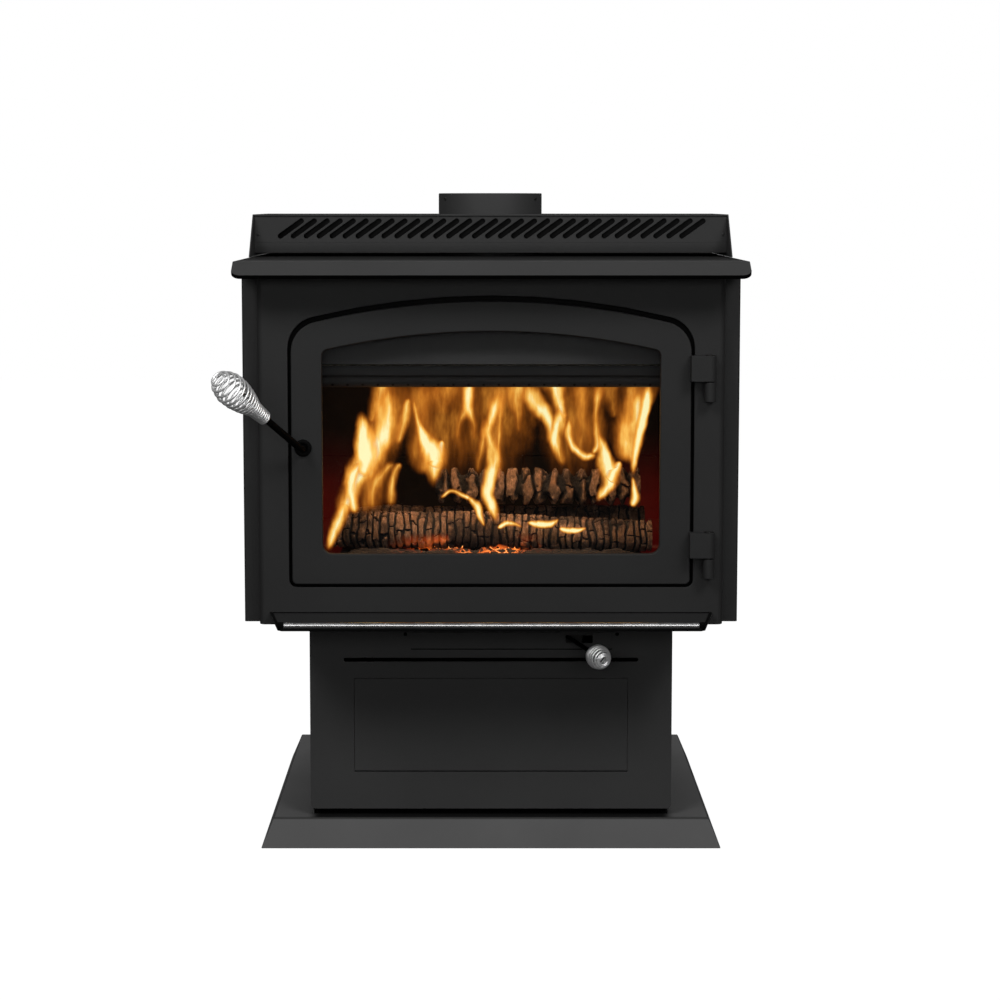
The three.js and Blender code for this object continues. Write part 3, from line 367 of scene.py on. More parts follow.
def flame():
    """Glowing gas on an open sheet. The mesh's gas attribute is (across, along, heat)."""
    look = Look("flame", Roughness=1.0, Specular_IOR_Level=0.0)
    look.set("Base Color", (0, 0, 0, 1))
    parts = look.node("SeparateXYZ", {"Vector": look.attribute("gas").outputs["Vector"]}).outputs
    curl = look.noise(30, 3, 0.5, look.stretched((1, 1, 0.5)))
    across = look.maths("ADD", parts["X"], look.remap(curl, 0.25, 0.75, -0.36, 0.36))
    inside = look.maths("SUBTRACT", 1.0, look.maths("ABSOLUTE", across))
    edge = look.remap(inside, 0.0, 1.05, 0.0, 1.0)
    near = look.remap(parts["Y"], 0.0, 0.16, 0.0, 1.0, True)
    far = look.remap(parts["Y"], 0.8, 1.0, 1.0, 0.0, True)
    streak = look.remap(look.noise(75, 3, 0.55, look.stretched((1, 1, 0.2))), 0.25, 0.75, 0.62, 1.35)
    whole = look.times(look.times(near, far), look.times(edge, streak))
    heat = look.times(whole, parts["Z"])
    stops = [
        (0.0, (0.5, 0.11, 0.008)),
        (0.25, (0.62, 0.17, 0.015)),
        (0.45, (0.92, 0.35, 0.04)),
        (0.65, (1.0, 0.58, 0.12)),
        (0.9, (1.0, 0.93, 0.5)),
    ]
    look.set("Emission Color", look.ramp(heat, stops))
    look.set("Emission Strength", 1.12)
    look.set("Alpha", look.remap(heat, 0.02, 0.72, 0.0, 0.96, True))
    look.material.cycles.emission_sampling = "NONE"
    return look.material


# Each paint: tone, then roughness, shine and shading where they differ from the usual. The top, base,
# pedestal, deck and inner paints are brighter copies of the body paint: painted light where those parts catch
# more light.
PAINTS = {
    "body_paint": (0.024,),
    "door_paint": (0.023,),
    "pedestal_paint": (0.05,),
    "deck_paint": (0.038, 0.62),
    "top_paint": (0.054, 0.62, 0.2, painted_shade_near_louvre),
    "base_paint": (0.115, 0.62, 0.42, base_shade),
    "inner_paint": (0.06,),
    "slot_shade_paint": (0.006, 0.6, 0.15),
    # Black paint for the handle, rods, posts and screws; the same black paints shade on edges and in gaps.
    "black_paint_and_shade": (0.003, 0.5, 0.05),
}
MATERIALS = {name: stove_paint(name, *values) for name, values in PAINTS.items()}
MATERIALS |= {
    "sheet_steel": bare_steel("sheet_steel", 0.045, 0.5),
    "rail_steel": plated_steel("rail_steel", 0.9, 0.24),
    "wire_steel": plated_steel("wire_steel", 0.86, 0.36, 0.8),
    "cast_iron": cast_iron(),
    "firebrick": firebrick(),
    "ceramic_fibre": ceramic_fibre(),
    "gasket_rope": gasket_rope(),
    "glass": clear_glass(),
    "bark": charred_wood(),
    "embers": ember_bed(),
    "flame": flame(),
}

# The part's slot that each material fills, where the two names differ.
SLOTS_OF = {paint: "stove_paint" for paint in PAINTS}
SLOTS_OF |= {"rail_steel": "bright_steel", "wire_steel": "bright_steel", "flame": "embers"}


# ---- Mesh helpers ----


def add_piece(name, mesh, material, body="stove_body", stands_for=(), crease=32):
    """A finished mesh as a piece that rides on a CAD body, smooth except at its creases."""
    mesh.name = name
    piece = bpy.data.objects.new(name, mesh)
    bpy.context.scene.collection.objects.link(piece)
    mesh.materials.append(MATERIALS[material])
    mesh.polygons.foreach_set("use_smooth", [True] * len(mesh.polygons))
    mesh.set_sharp_from_angle(angle=math.radians(crease))
    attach(piece, body)
    if stands_for:
        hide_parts(*stands_for)
    return piece


@contextmanager
def editing(mesh):
    """A mesh's geometry, open for changes that go back into it."""
    work = bmesh.new()
    work.from_mesh(mesh)
    yield work
    work.to_mesh(mesh)
    work.free()


def mesh_of(vertices, faces):
    """A mesh from millimetre points."""
    mesh = bpy.data.meshes.new("mesh")
    mesh.from_pydata([Vector(v) * MM for v in vertices], [], faces)
    mesh.validate()
    return mesh


def joined(*meshes):
    made = bpy.data.meshes.new("mesh")
    with editing(made) as whole:
        for mesh in meshes:
            whole.from_mesh(mesh)
    return made


def flat_faces(piece):
    """Shading that keeps large faces flat beside rounded edges."""
    piece.modifiers.new("normals", "WEIGHTED_NORMAL").weight = 50
    return piece


def round_edges(piece, width):
    bevel = piece.modifiers.new("edge", "BEVEL")
    bevel.width = width * MM
    bevel.segments = 2
    bevel.limit_method = "ANGLE"
    bevel.angle_limit = math.radians(BEVEL_ANGLE)
    bevel.use_clamp_overlap = True
    flat_faces(piece)


def spoke(side, up, turn):
    """A unit direction at an angle round an axis, from its two cross directions."""
    return side * math.cos(turn) + up * math.sin(turn)


def quads(rows, across, wrap_rows=False, wrap_across=False):
    """Faces over a grid of points, row by row. A wrapped direction joins its end to its start."""
    faces = []
    for i in range(rows if wrap_rows else rows - 1):
        j = (i + 1) % rows
        for k in range(across if wrap_across else across - 1):
            m = (k + 1) % across
            faces.append((i * across + k, i * across + m, j * across + m, j * across + k))
    return faces


def interpolate(table, at):
    """The value at a place in a table of (place, value)."""
    if at <= table[0][0]:
        return table[0][1]
    for (a, low), (b, high) in zip(table, table[1:]):
        if at <= b:
            return low + (high - low) * (at - a) / (b - a)
    return table[-1][1]


def eased(low, high, value):
    """0 below the low value, 1 above the high one and a smooth step between."""
    share = min(max((value - low) / (high - low), 0.0), 1.0)
    return share * share * (3 - 2 * share)


def arc(cx, cy, radius, start, end, steps):
    """Points round part of a circle, both ends included."""
    angles = [start + (end - start) * i / steps for i in range(steps + 1)]
    return [(cx + radius * math.cos(a), cy + radius * math.sin(a)) for a in angles]


def arch_outline(arch, margin=0.0):
    """The door's or the window's outline as (x, z), grown by a margin."""
    half = arch["half"] + margin
    bottom = arch["bottom"] - margin
    radius = arch["arch"] + margin
    centre = arch["apex"] + margin - radius
    upper = arch["upper"] + margin
    lower = max(arch["lower"] + margin, 1)
    corner_x = half - upper
    corner_z = centre + math.sqrt((radius - upper) ** 2 - corner_x**2)
    turn = math.atan2(corner_z - centre, corner_x)
    right = math.pi / 2
    return (
        arc(half - lower, bottom + lower, lower, -right, 0, 10)
        + arc(corner_x, corner_z, upper, 0, turn, 12)
        + arc(0, centre, radius, turn, math.pi - turn, 56)[1:-1]
        + arc(-corner_x, corner_z, upper, math.pi - turn, math.pi, 12)
        + arc(lower - half, bottom + lower, lower, math.pi, 3 * right, 10)
    )


def rectangle(left, right, bottom, top, radius, steps=5):
    """A rectangle's outline with rounded corners."""
    quarter = math.pi / 2
    return (
        arc(right - radius, bottom + radius, radius, -quarter, 0, steps)
        + arc(right - radius, top - radius, radius, 0, quarter, steps)
        + arc(left + radius, top - radius, radius, quarter, 2 * quarter, steps)
        + arc(left + radius, bottom + radius, radius, 2 * quarter, 3 * quarter, steps)
    )


def circle(x, y, radius, steps):
    return arc(x, y, radius, 0, 2 * math.pi * (1 - 1 / steps), steps - 1)


def flat_plate(outlines, thickness, edge):
    """A plate in its own plane, centred on it, with rounded edges round every outline."""
    curve = bpy.data.curves.new("plate", "CURVE")
    curve.dimensions = "2D"
    curve.fill_mode = "BOTH"
    for points in outlines:
        spline = curve.splines.new("POLY")
        spline.points.add(len(points) - 1)
        for point, (a, b) in zip(spline.points, points):
            point.co = (a * MM, b * MM, 0, 1)
        spline.use_cyclic_u = True
    curve.extrude = (thickness / 2 - edge) * MM
    curve.bevel_depth = edge * MM
    curve.bevel_resolution = 2
    curve.offset = -edge * MM
    source = bpy.data.objects.new("plate", curve)
    bpy.context.scene.collection.objects.link(source)
    evaluated = source.evaluated_get(bpy.context.evaluated_depsgraph_get())
    mesh = bpy.data.meshes.new_from_object(evaluated)
    bpy.data.objects.remove(source)
    with editing(mesh) as welded:
        bmesh.ops.remove_doubles(welded, verts=welded.verts, dist=PLATE_WELD * MM)
    return mesh


def stand_up(mesh, front, thickness):
    """Turns a flat plate into the front view, its front face at a given y."""
    turn = Matrix(((1, 0, 0, 0), (0, 0, -1, 0), (0, 1, 0, 0), (0, 0, 0, 1)))
    turn[1][3] = (front + thickness / 2) * MM
    mesh.transform(turn)
    return mesh


def front_plate(outlines, front, thickness, edge):
    return stand_up(flat_plate(outlines, thickness, edge), front, thickness)


def level_plate(outline, bottom, thickness, edge):
    """A plate that lies level, its underside at a given height."""
    mesh = flat_plate([outline], thickness, edge)
    mesh.transform(Matrix.Translation((0, 0, (bottom + thickness / 2) * MM)))
    return mesh


def sweep(path, radius, sides, closed=False):
    """A round bar along a path. The radius is a number or one number for each point."""
    points = [Vector(p) for p in path]
    count = len(points)
    radii = radius if isinstance(radius, list) else [radius] * count
    side = None
    vertices = []
    for i, point in enumerate(points):
        before = points[i - 1] if closed or i else point
        after = points[(i + 1) % count] if closed or i < count - 1 else point
        along = (after - before).normalized()
        if side is None:
            side = along.orthogonal().normalized()
        side = (side - along * side.dot(along)).normalized()
        up = along.cross(side)
        for k in range(sides):
            vertices.append(point + spoke(side, up, 2 * math.pi * k / sides) * radii[i])
    faces = quads(count, sides, closed, True)
    if not closed:
        faces.append(tuple(reversed(range(sides))))
        faces.append(tuple(range((count - 1) * sides, count * sides)))
    return mesh_of(vertices, faces)


def lathe(profile, start, direction, sides, closed=True):
    """A turned solid from (distance, radius) points, from a start point in a direction."""
    axis = Vector(direction).normalized()
    side = axis.orthogonal().normalized()
    up = axis.cross(side)
    vertices = []
    for distance, radius in profile:
        centre = Vector(start) + axis * distance
        for k in range(sides):
            vertices.append(centre + spoke(side, up, 2 * math.pi * k / sides) * radius)
    rows = len(profile)
    faces = [(a, d, c, b) for a, b, c, d in quads(rows, sides, closed, True)]
    if not closed:
        faces.append(tuple(range(sides)))
        faces.append(tuple(reversed(range((rows - 1) * sides, rows * sides))))
    made = mesh_of(vertices, faces)
    with editing(made) as outward:
        bmesh.ops.recalc_face_normals(outward, faces=outward.faces)
    return made


def block_mesh(low, high, edge):
    """A box between two corners with rounded edges."""
    box = bmesh.new()
    bmesh.ops.create_cube(box, size=1)
    size = Vector(high) - Vector(low)
    centre = (Vector(high) + Vector(low)) / 2
    for vertex in box.verts:
        vertex.co = Vector(c * s for c, s in zip(vertex.co, size)) + centre
        vertex.co *= MM
    bmesh.ops.bevel(box, geom=box.edges, offset=edge * MM, segments=2, affect="EDGES", profile=0.5)
    mesh = bpy.data.meshes.new("block")
    box.to_mesh(mesh)
    box.free()
    return mesh


def smooth_path(points, steps):
    """A Catmull-Rom line through points of any number of values."""
    ends = [points[0]] + list(points) + [points[-1]]
    made = []
    for i in range(1, len(ends) - 2):
        a, b, c, d = ends[i - 1 : i + 3]
        for k in range(steps):
            t = k / steps
            made.append(
                tuple(
                    0.5
                    * (
                        2 * q
                        + (r - p) * t
                        + (2 * p - 5 * q + 4 * r - s) * t * t
                        + (3 * q - p - 3 * r + s) * t**3
                    )
                    for p, q, r, s in zip(a, b, c, d)
                )
            )
    made.append(tuple(points[-1]))
    return made


def bent_line(start, corner, end, bend, steps=10):
    """Straight to a corner, round it and straight on."""
    before = corner + (start - corner).normalized() * bend
    after = corner + (end - corner).normalized() * bend
    curve = []
    for i in range(steps + 1):
        t = i / steps
        curve.append(before * (1 - t) ** 2 + corner * 2 * t * (1 - t) + after * t * t)
    return [start] + curve + [end]


def screw(centre, direction, radius, height):
    """A small domed screw head with a recess, standing on a surface."""
    profile = [(0, radius), (height * 0.5, radius * 0.95), (height * 0.85, radius * 0.7)]
    profile += [(height, radius * 0.45), (height * 0.55, radius * 0.4), (height * 0.5, 0.05)]
    return lathe(profile, centre, direction, 20, closed=False)


# ---- Fixed sheet metal ----


def soften_cad(names, material, width):
    """Keeps CAD shapes and gives them clean rounded edges and a finish."""
    for name in names:
        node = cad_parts[name]
        node.data.materials.clear()
        node.data.materials.append(MATERIALS[material])
        weld = node.modifiers.new("weld", "WELD")
        weld.merge_threshold = CAD_WELD * MM
        planar = node.modifiers.new("planar", "DECIMATE")
        planar.decimate_type = "DISSOLVE"
        planar.angle_limit = math.radians(PLANAR_ANGLE)
        round_edges(node, width)


def build_top_plate():
    """One sheet, bent down along its front edge with rounded corners."""
    half, rear, thickness = (TOP_PLATE[k] for k in ("half", "rear", "thickness"))
    corner = LIP["corner"]
    front = -LIP["length"]
    depth = rear - TOP_PLATE["bend"]
    sheet = (
        [(half, depth), (-half, depth)]
        + arc(corner - half, front + corner, corner, math.pi, 1.5 * math.pi, 12)
        + arc(half - corner, front + corner, corner, 1.5 * math.pi, 2 * math.pi, 12)
    )
    offset = -TOP_PLATE["bend"]
    width, length = VENT["width"], VENT["length"]
    vents = [rectangle(x, x + width, offset, offset + length, 1) for x in VENT["lefts"]]
    flue = circle(0, FLUE["y"] + offset, FLUE["outer"] + 1.5, 64)
    mesh = flat_plate([sheet, flue, *vents], thickness, 0.9)
    # The lip's front edge is painted black: painted shade on a face turned away from the lamps.
    darken_edge(mesh, front + corner)
    reach = LIP["bend_radius"] * LIP["angle"] / 2
    with editing(mesh) as cutter:
        for i in range(9):
            place = Vector((0, (i / 4 - 1) * reach * MM, 0))
            geometry = cutter.verts[:] + cutter.edges[:] + cutter.faces[:]
            bmesh.ops.bisect_plane(cutter, geom=geometry, plane_co=place, plane_no=(0, 1, 0))
        for vertex in cutter.verts:
            vertex.co = fold_down(vertex.co / MM, reach) * MM
    plate = flat_faces(add_piece("top_sheet", mesh, "top_paint", stands_for=["top_plate"]))
    plate.data.materials.append(MATERIALS["black_paint_and_shade"])


def darken_edge(mesh, front):
    """Gives the narrow faces along a plate's front edge its second material, a black that paints the shade on
    those edges.
    """
    for face in mesh.polygons:
        if abs(face.normal.z) < 0.75 and face.center.y < front * MM:
            face.material_index = 1


def fold_down(point, reach):
    """A point of the flat sheet after the front strip is bent down about the x axis."""
    x, s, level = point
    thickness = TOP_PLATE["thickness"]
    level -= thickness / 2
    share = min(max((reach - s) / (2 * reach), 0.0), 1.0)
    angle = LIP["angle"] * share
    radius = LIP["bend_radius"]
    turned = min(reach - s, 2 * reach)
    if turned <= 0:
        y, z = s, level
    else:
        y = reach - (radius + level) * math.sin(angle)
        z = (radius + level) * math.cos(angle) - radius
        rest = max(reach - s - 2 * reach, 0.0)
        y -= rest * math.cos(angle)
        z -= rest * math.sin(angle)
    return Vector((x, y + TOP_PLATE["bend"], z + TOP_PLATE["top"]))


def build_louvres():
    half, front = LOUVRE["half"], LOUVRE["front"]
    face = rectangle(-half, half, LOUVRE["crease"], LOUVRE["top"], 0.5)
    slant = math.atan2(SLOTS["rise"], SLOTS["run"])
    quarter = math.pi / 2
    slots = []
    for i in range(SLOTS["count"]):
        x = SLOTS["first"] + i * SLOTS["pitch"]
        upper = (x + SLOTS["run"], SLOTS["low"] + SLOTS["rise"])
        slot = arc(*upper, SLOT_RADIUS, slant - quarter, slant + quarter, 10)
        slot += arc(x, SLOTS["low"], SLOT_RADIUS, slant + quarter, slant + 3 * quarter, 10)
        slots.append(slot)
    sheet = front_plate([face, *slots], front, 2, 0.3)
    foot = [(front, LOUVRE["crease"]), (front + 2, LOUVRE["foot"])]
    foot += [(front + 4, LOUVRE["foot"]), (front + 2, LOUVRE["crease"])]
    corners = [(x, y, z) for x in (-half, half) for y, z in foot]
    sides = [(0, 1, 5, 4), (1, 2, 6, 5), (2, 3, 7, 6), (3, 0, 4, 7), (3, 2, 1, 0), (4, 5, 6, 7)]
    mesh = joined(sheet, mesh_of(corners, sides))
    flat_faces(add_piece("louvre_sheet", mesh, "deck_paint", stands_for=["louver_panel"], crease=20))
    # The tabs take a near-black copy of the louvre's paint: painted shade inside the slots.
    add_piece("louvre_tabs", louvre_tabs(), "slot_shade_paint")
    aside, level = LOUVRE["screws"]
    heads = [screw((x, front, level), FORWARD, 2.2, 1.2) for x in (-aside, aside)]
    add_piece("louvre_screws", joined(*heads), "deck_paint")


def louvre_tabs():
    """The tongue pressed back behind each slot: level with the sheet above, deeper below."""
    front = LOUVRE["front"] + 2.1
    length = math.hypot(SLOTS["run"], SLOTS["rise"])
    along = Vector((SLOTS["run"], 0, SLOTS["rise"])) / length
    across = Vector((-along.z, 0, along.x))
    half = SLOT_RADIUS + TAB["margin"]
    tabs = []
    for i in range(SLOTS["count"]):
        low = Vector((SLOTS["first"] + i * SLOTS["pitch"], front, SLOTS["low"]))
        corners = []
        for distance, depth in ((-TAB["below"], TAB["depth"]), (length + TAB["above"], 0.2)):
            for side in (-half, half):
                for back in (0, TAB["sheet"]):
                    corners.append(low + along * distance + across * side + Vector((0, depth + back, 0)))
        faces = [(0, 2, 6, 4), (1, 5, 7, 3), (0, 4, 5, 1), (2, 3, 7, 6), (0, 1, 3, 2), (4, 6, 7, 5)]
        tabs.append(mesh_of(corners, faces))
    return joined(*tabs)


def build_collar():
    length = FLUE["top"] - FLUE["bottom"]
    outer, inner = FLUE["outer"], FLUE["inner"]
    profile = [(0, inner), (0, outer - 0.4), (0.4, outer), (length - 1, outer), (length - 0.3, outer - 0.3)]
    profile += [(length, outer - 1), (length, inner + 1), (length - 0.3, inner + 0.3), (length - 1, inner)]
    ring = lathe(profile, (0, FLUE["y"], FLUE["bottom"]), (0, 0, 1), 128)
    add_piece("collar_ring", ring, "deck_paint", stands_for=["flue_collar"])
    heads = []
    for degrees in (210, 330, 90):
        turn = math.radians(degrees)
        out = Vector((math.cos(turn), math.sin(turn), 0))
        heads.append(screw(Vector((0, FLUE["y"], FLUE["screws"])) + out * (outer - 0.4), out, 3, 1.8))
    add_piece("collar_screws", joined(*heads), "sheet_steel")


def build_ash_lip():
    """A tapered shelf with a black front edge, painted shadow under the rail, a rib along each side and the
    rail's two posts.
    """
    front, rear = ASH_LIP["front"], ASH_LIP["rear"]
    near, far = ASH_LIP["front_half"], ASH_LIP["rear_half"]
    outline = [(-far, rear), (-near - 1, front + 6), (-near + 5, front)]
    outline += [(near - 5, front), (near + 1, front + 6), (far, rear)]
    bottom, top = ASH_LIP["bottom"], ASH_LIP["top"]
    shelf = level_plate(outline, bottom, top - bottom, 0.4)
    # The shelf's front edge is black: the rail's shadow, painted.
    darken_edge(shelf, front + 8)
    inner = RAIL["half"] + 0.3
    low, high = RAIL["y"] - RAIL["radius"], RAIL["y"] + RAIL["radius"]
    posts = []
    for left in (inner, -inner - RAIL["post"]):
        end = (left + RAIL["post"], high, RAIL["z"] + RAIL["radius"])
        posts.append(block_mesh((left, low + 3, top), end, 0.9))
    shown = flat_faces(add_piece("ash_shelf", shelf, "body_paint", stands_for=["ash_lip"]))
    shown.data.materials.append(MATERIALS["black_paint_and_shade"])
    add_piece("ash_posts", joined(*posts), "black_paint_and_shade")
    # The black strip along the rear is a painted shadow line where the shelf meets the body.
    ribs = [block_mesh((-far + 1, rear - 0.6, top), (far - 1, rear, top + 1.5), 0.2)]
    for side in (-1, 1):
        rib = [(side * far, rear), (side * (near + 1), front + 7)]
        rib += [(side * (near - 2.4), front + 7), (side * (far - 3.4), rear)]
        ribs.append(level_plate(rib, top, 1.4, 0.3))
    add_piece("ash_ribs", joined(*ribs), "black_paint_and_shade")


def build_rail():
    half, radius = RAIL["half"], RAIL["radius"]
    profile = [(0, radius - 0.6), (0.6, radius), (2 * half - 0.6, radius), (2 * half, radius - 0.6)]
    bar = lathe(profile, (-half, RAIL["y"], RAIL["z"]), (1, 0, 0), 48, closed=False)
    add_piece("rail_bar", bar, "rail_steel", stands_for=["ash_lip_rail"])


# ---- Door, handle and air control ----


def build_door():
    shaft = circle(HANDLE.x, HANDLE.z, HANDLE_HOLE, 28)
    outlines = [arch_outline(DOOR), arch_outline(WINDOW), shaft]
    leaf = front_plate(outlines, DOOR_FRONT, DOOR_THICKNESS, DOOR_EDGE)
    flat_faces(add_piece("door_leaf", leaf, "door_paint", "door", ["door_frame"], 60))

    ring = [(0, 5.6), (0, 11.6), (2.2, 11.6), (3.2, 10.9), (3.7, 9.6), (3.7, 7), (3.2, 5.9), (2.6, 5.4)]
    boss = lathe(ring, (HANDLE.x, DOOR_FRONT - 0.3, HANDLE.z), FORWARD, 48)
    add_piece("handle_boss", boss, "black_paint_and_shade", "door", ["handle_bushing"])

    for name, (node, margin, y, radius) in ROPES.items():
        path = [(x, y, z) for x, z in arch_outline(WINDOW, margin)]
        rope = sweep(path, radius, 14, closed=True)
        add_piece(name, rope, "gasket_rope", "door", [node])


def coil(root, aim, shape, pitch, wire, tail):
    """A wound wire grip: turns that follow a shape, then a spiral that leaves the tip open.

    The tail is the spiral's turns, inner radius and how far it dips back.
    """
    axis = aim.normalized()
    side = axis.cross(Vector((0, 0, 1))).normalized()
    up = axis.cross(side)
    steps = 26
    distance, turn = wire, 0.0
    points = []
    length = shape[-1][0]
    while distance < length:
        radius = interpolate(shape, distance) - wire
        points.append((distance, radius, turn))
        turn += 2 * math.pi / steps
        distance += interpolate(pitch, distance) / steps
    last = points[-1][1]
    turns, inner, dip = tail
    for i in range(1, int(turns * steps)):
        share = i / (turns * steps)
        radius = last + (inner - last) * share
        points.append((length - dip * share, radius, turn + 2 * math.pi * i / steps))
    path = []
    for along, radius, angle in points:
        path.append(root + axis * along + spoke(side, up, angle) * radius)
    radii = [wire] * len(path)
    radii[0] = radii[-1] = wire * 0.6
    return sweep(path, radii, 12)


def build_gap_shade():
    """A black ring behind the gap round the shut door: painted shade that shows through the gap."""
    ring = front_plate([arch_outline(DOOR, 7), arch_outline(DOOR, -2)], DOOR_GAP_SHADE_Y, 0.6, 0.1)
    add_piece("door_gap_shade", ring, "black_paint_and_shade")


def build_handle():
    root = HANDLE_CORNER + HANDLE_AIM * HANDLE_COIL_ROOT
    inner = Vector((HANDLE.x, HANDLE_ROD_END, HANDLE.z))
    bar = bent_line(inner, HANDLE_CORNER, root + HANDLE_AIM * ROD_IN_COIL, HANDLE_BEND)
    add_piece("handle_bar", sweep(bar, HANDLE_ROD, 28), "black_paint_and_shade", "latch", ["handle_rod"])
    grip = coil(root, HANDLE_AIM, HANDLE_COIL_SHAPE, HANDLE_COIL_PITCH, HANDLE_WIRE, HANDLE_TAIL)
    add_piece("handle_grip", grip, "wire_steel", "latch", ["handle_coil"])


def build_air_cover():
    """The thin plate over the air control's slot, a black strip under it that paints its shadow line, and the
    screws beside it.
    """
    left, right, bottom, top, front = AIR_COVER.values()
    hole = rectangle(*LEVER_HOLE.values(), 1.5)
    plate = front_plate([rectangle(left, right, bottom, top, 1.5), hole], front, 0.9, 0.25)
    flat_faces(add_piece("air_cover", plate, "pedestal_paint"))
    under = front_plate([rectangle(left, right, bottom - 1.5, bottom + 3, 0.6)], front + 0.6, 0.4, 0.1)
    add_piece("air_cover_shadow_line", under, "black_paint_and_shade")
    sides = (left - 8, right + 7)
    heads = [screw((x, front + 1, bottom + 20), FORWARD, 2.6, 1.2) for x in sides]
    add_piece("air_cover_screws", joined(*heads), "black_paint_and_shade")


def build_air_control():
    root = AIR_CORNER + AIR_AIM * AIR_COIL_ROOT
    inner = AIR_CORNER + Vector((0, AIR_ROD_INSIDE, 0))
    bar = bent_line(inner, AIR_CORNER, root + AIR_AIM * AIR_ROD_IN_COIL, AIR_BEND)
    piece = sweep(bar, AIR_ROD, 24)
    add_piece("air_bar", piece, "black_paint_and_shade", "air_control", ["air_control_rod"])
    grip = coil(root, AIR_AIM, AIR_COIL_SHAPE, AIR_COIL_PITCH, AIR_WIRE, AIR_TAIL)
    add_piece("air_grip", grip, "wire_steel", "air_control", ["air_control_coil"])


# ---- Firebox ----


def brick_rows(span, bottom, top, width, height, place, gap=1.2):
    """Bricks laid in rows over a wall. place turns (a0, a1, z0, z1) into two corners."""
    rows = max(round((top - bottom) / height), 1)
    made = []
    for row in range(rows):
        z0 = bottom + (top - bottom) * row / rows
        z1 = bottom + (top - bottom) * (row + 1) / rows
        count = max(round((span[1] - span[0]) / width), 1)
        for i in range(count):
            a0 = span[0] + (span[1] - span[0]) * i / count
            a1 = span[0] + (span[1] - span[0]) * (i + 1) / count
            low, high = place(a0 + gap / 2, a1 - gap / 2, z0 + gap / 2, z1 - gap / 2)
            made.append(block_mesh(low, high, BRICK_EDGE))
    return joined(*made)


def build_bricks():
    inner, outer, front, back = (FIREBOX[k] for k in ("inner", "outer", "front", "back"))
    rear = back - (outer - inner)
    sides = (front, back)
    walls = {
        "firebrick_left": (sides, lambda a, b, c, d: ((-outer, a, c), (-inner, b, d))),
        "firebrick_right": (sides, lambda a, b, c, d: ((inner, a, c), (outer, b, d))),
        "firebrick_back": ((0.3 - inner, inner - 0.3), lambda a, b, c, d: ((a, rear, c), (b, back, d))),
    }
    for node, (span, place) in walls.items():
        mesh = brick_rows(span, BRICK_BOTTOM, BRICK_TOP, *BRICK_FACE, place)
        add_piece(node + "_courses", mesh, "firebrick", stands_for=[node])


def build_tubes():
    """Secondary air tubes with a row of jet holes along the lower front."""
    for name, y in TUBES.items():
        half, radius, bore = TUBE["half"], TUBE["radius"], TUBE["bore"]
        profile = [(0, bore), (0, radius - 0.3), (0.3, radius), (2 * half - 0.3, radius)]
        profile += [(2 * half, radius - 0.3), (2 * half, bore)]
        tube = lathe(profile, (-half, y, TUBE["z"]), (1, 0, 0), 40)
        jets = []
        out = Vector((0, -math.cos(JETS["turn"]), -math.sin(JETS["turn"])))
        for i in range(JETS["count"]):
            centre = Vector((JETS["first"] + i * JETS["pitch"], y, TUBE["z"])) + out * (radius - 0.5)
            jets.append(lathe(JET_SHAPE, centre, out, 14, closed=False))
        add_piece(name + "_pipe", tube, "inner_paint", stands_for=[name])
        add_piece(name + "_jets", joined(*jets), "cast_iron")


def charred_log(start, end, radius, block, groove, shape, seed):
    """A round of wood burnt into blocks, as a mesh with a char attribute."""
    start, end = Vector(start), Vector(end)
    axis = (end - start).normalized()
    side = Vector((0, 0, 1))
    up = axis.cross(side)
    length = (end - start).length
    rings, sides = int(length / LOG_STEP), LOG_SIDES
    vertices, char = [], []
    for i in range(rings + 1):
        at = length * i / rings
        taper, drop = blend_pair(shape, at)
        for k in range(sides):
            turn = 2 * math.pi * k / sides
            out = spoke(side, up, turn)
            depth, face = block_pattern(at, turn * radius, block, groove, seed)
            where = axis * at + out * radius
            swell = noise.noise(where * 0.022 + Vector((seed, 0, 0))) * 0.09
            rough = noise.fractal(where * 0.16, 1.0, 2.2, 3) * 0.7
            reach = radius * taper * (1 + swell) - depth + rough - 1.0
            vertices.append(start + axis * at + out * reach + Vector((0, 0, drop)))
            char.append(face)
    faces = quads(rings + 1, sides, wrap_across=True)
    faces.append(tuple(reversed(range(sides))))
    faces.append(tuple(range(rings * sides, (rings + 1) * sides)))
    mesh = mesh_of(vertices, faces)
    mesh.attributes.new("char", "FLOAT", "POINT").data.foreach_set("value", char)
    return mesh


def blend_pair(table, at):
    """Interpolates a table of (place, (a, b))."""
    first = interpolate([(p, v[0]) for p, v in table], at)
    second = interpolate([(p, v[1]) for p, v in table], at)
    return first, second


def hashed(a, b=0.0):
    """A repeatable number from 0 to 1 for a pair of whole numbers."""
    return 0.5 + 0.5 * noise.cell(Vector((a * 1.7 + 0.31, b * 2.3 + 0.77, 5.5)))


def block_pattern(along, around, block, groove, seed):
    """How deep the surface lies under a block's face, and 1 on the face or 0 in a crack."""
    width, height = block
    warp = noise.noise(Vector((along * 0.05, around * 0.03, seed))) * width * 0.45
    warp += noise.noise(Vector((along * 0.2, around * 0.1, seed + 7))) * width * 0.1
    column = (along + warp) / width
    index = math.floor(column)
    row = around / height + hashed(index, seed) + 0.25 * noise.noise(Vector((along * 0.1, around * 0.1, 3)))
    level = math.floor(row)
    open_side = groove * (0.45 + 1.1 * hashed(index, level + seed))
    dx = min(column - index, 1 - column + index) * width
    dz = min(row - level, 1 - row + level) * height
    side = eased(open_side * 0.25, open_side, dx)
    end = eased(groove * 0.15, groove * 0.75, dz)
    face = min(side, end)
    sunk = 1.6 * hashed(index + 11, level + seed)
    return (1 - face) * groove * 1.5 + sunk, face


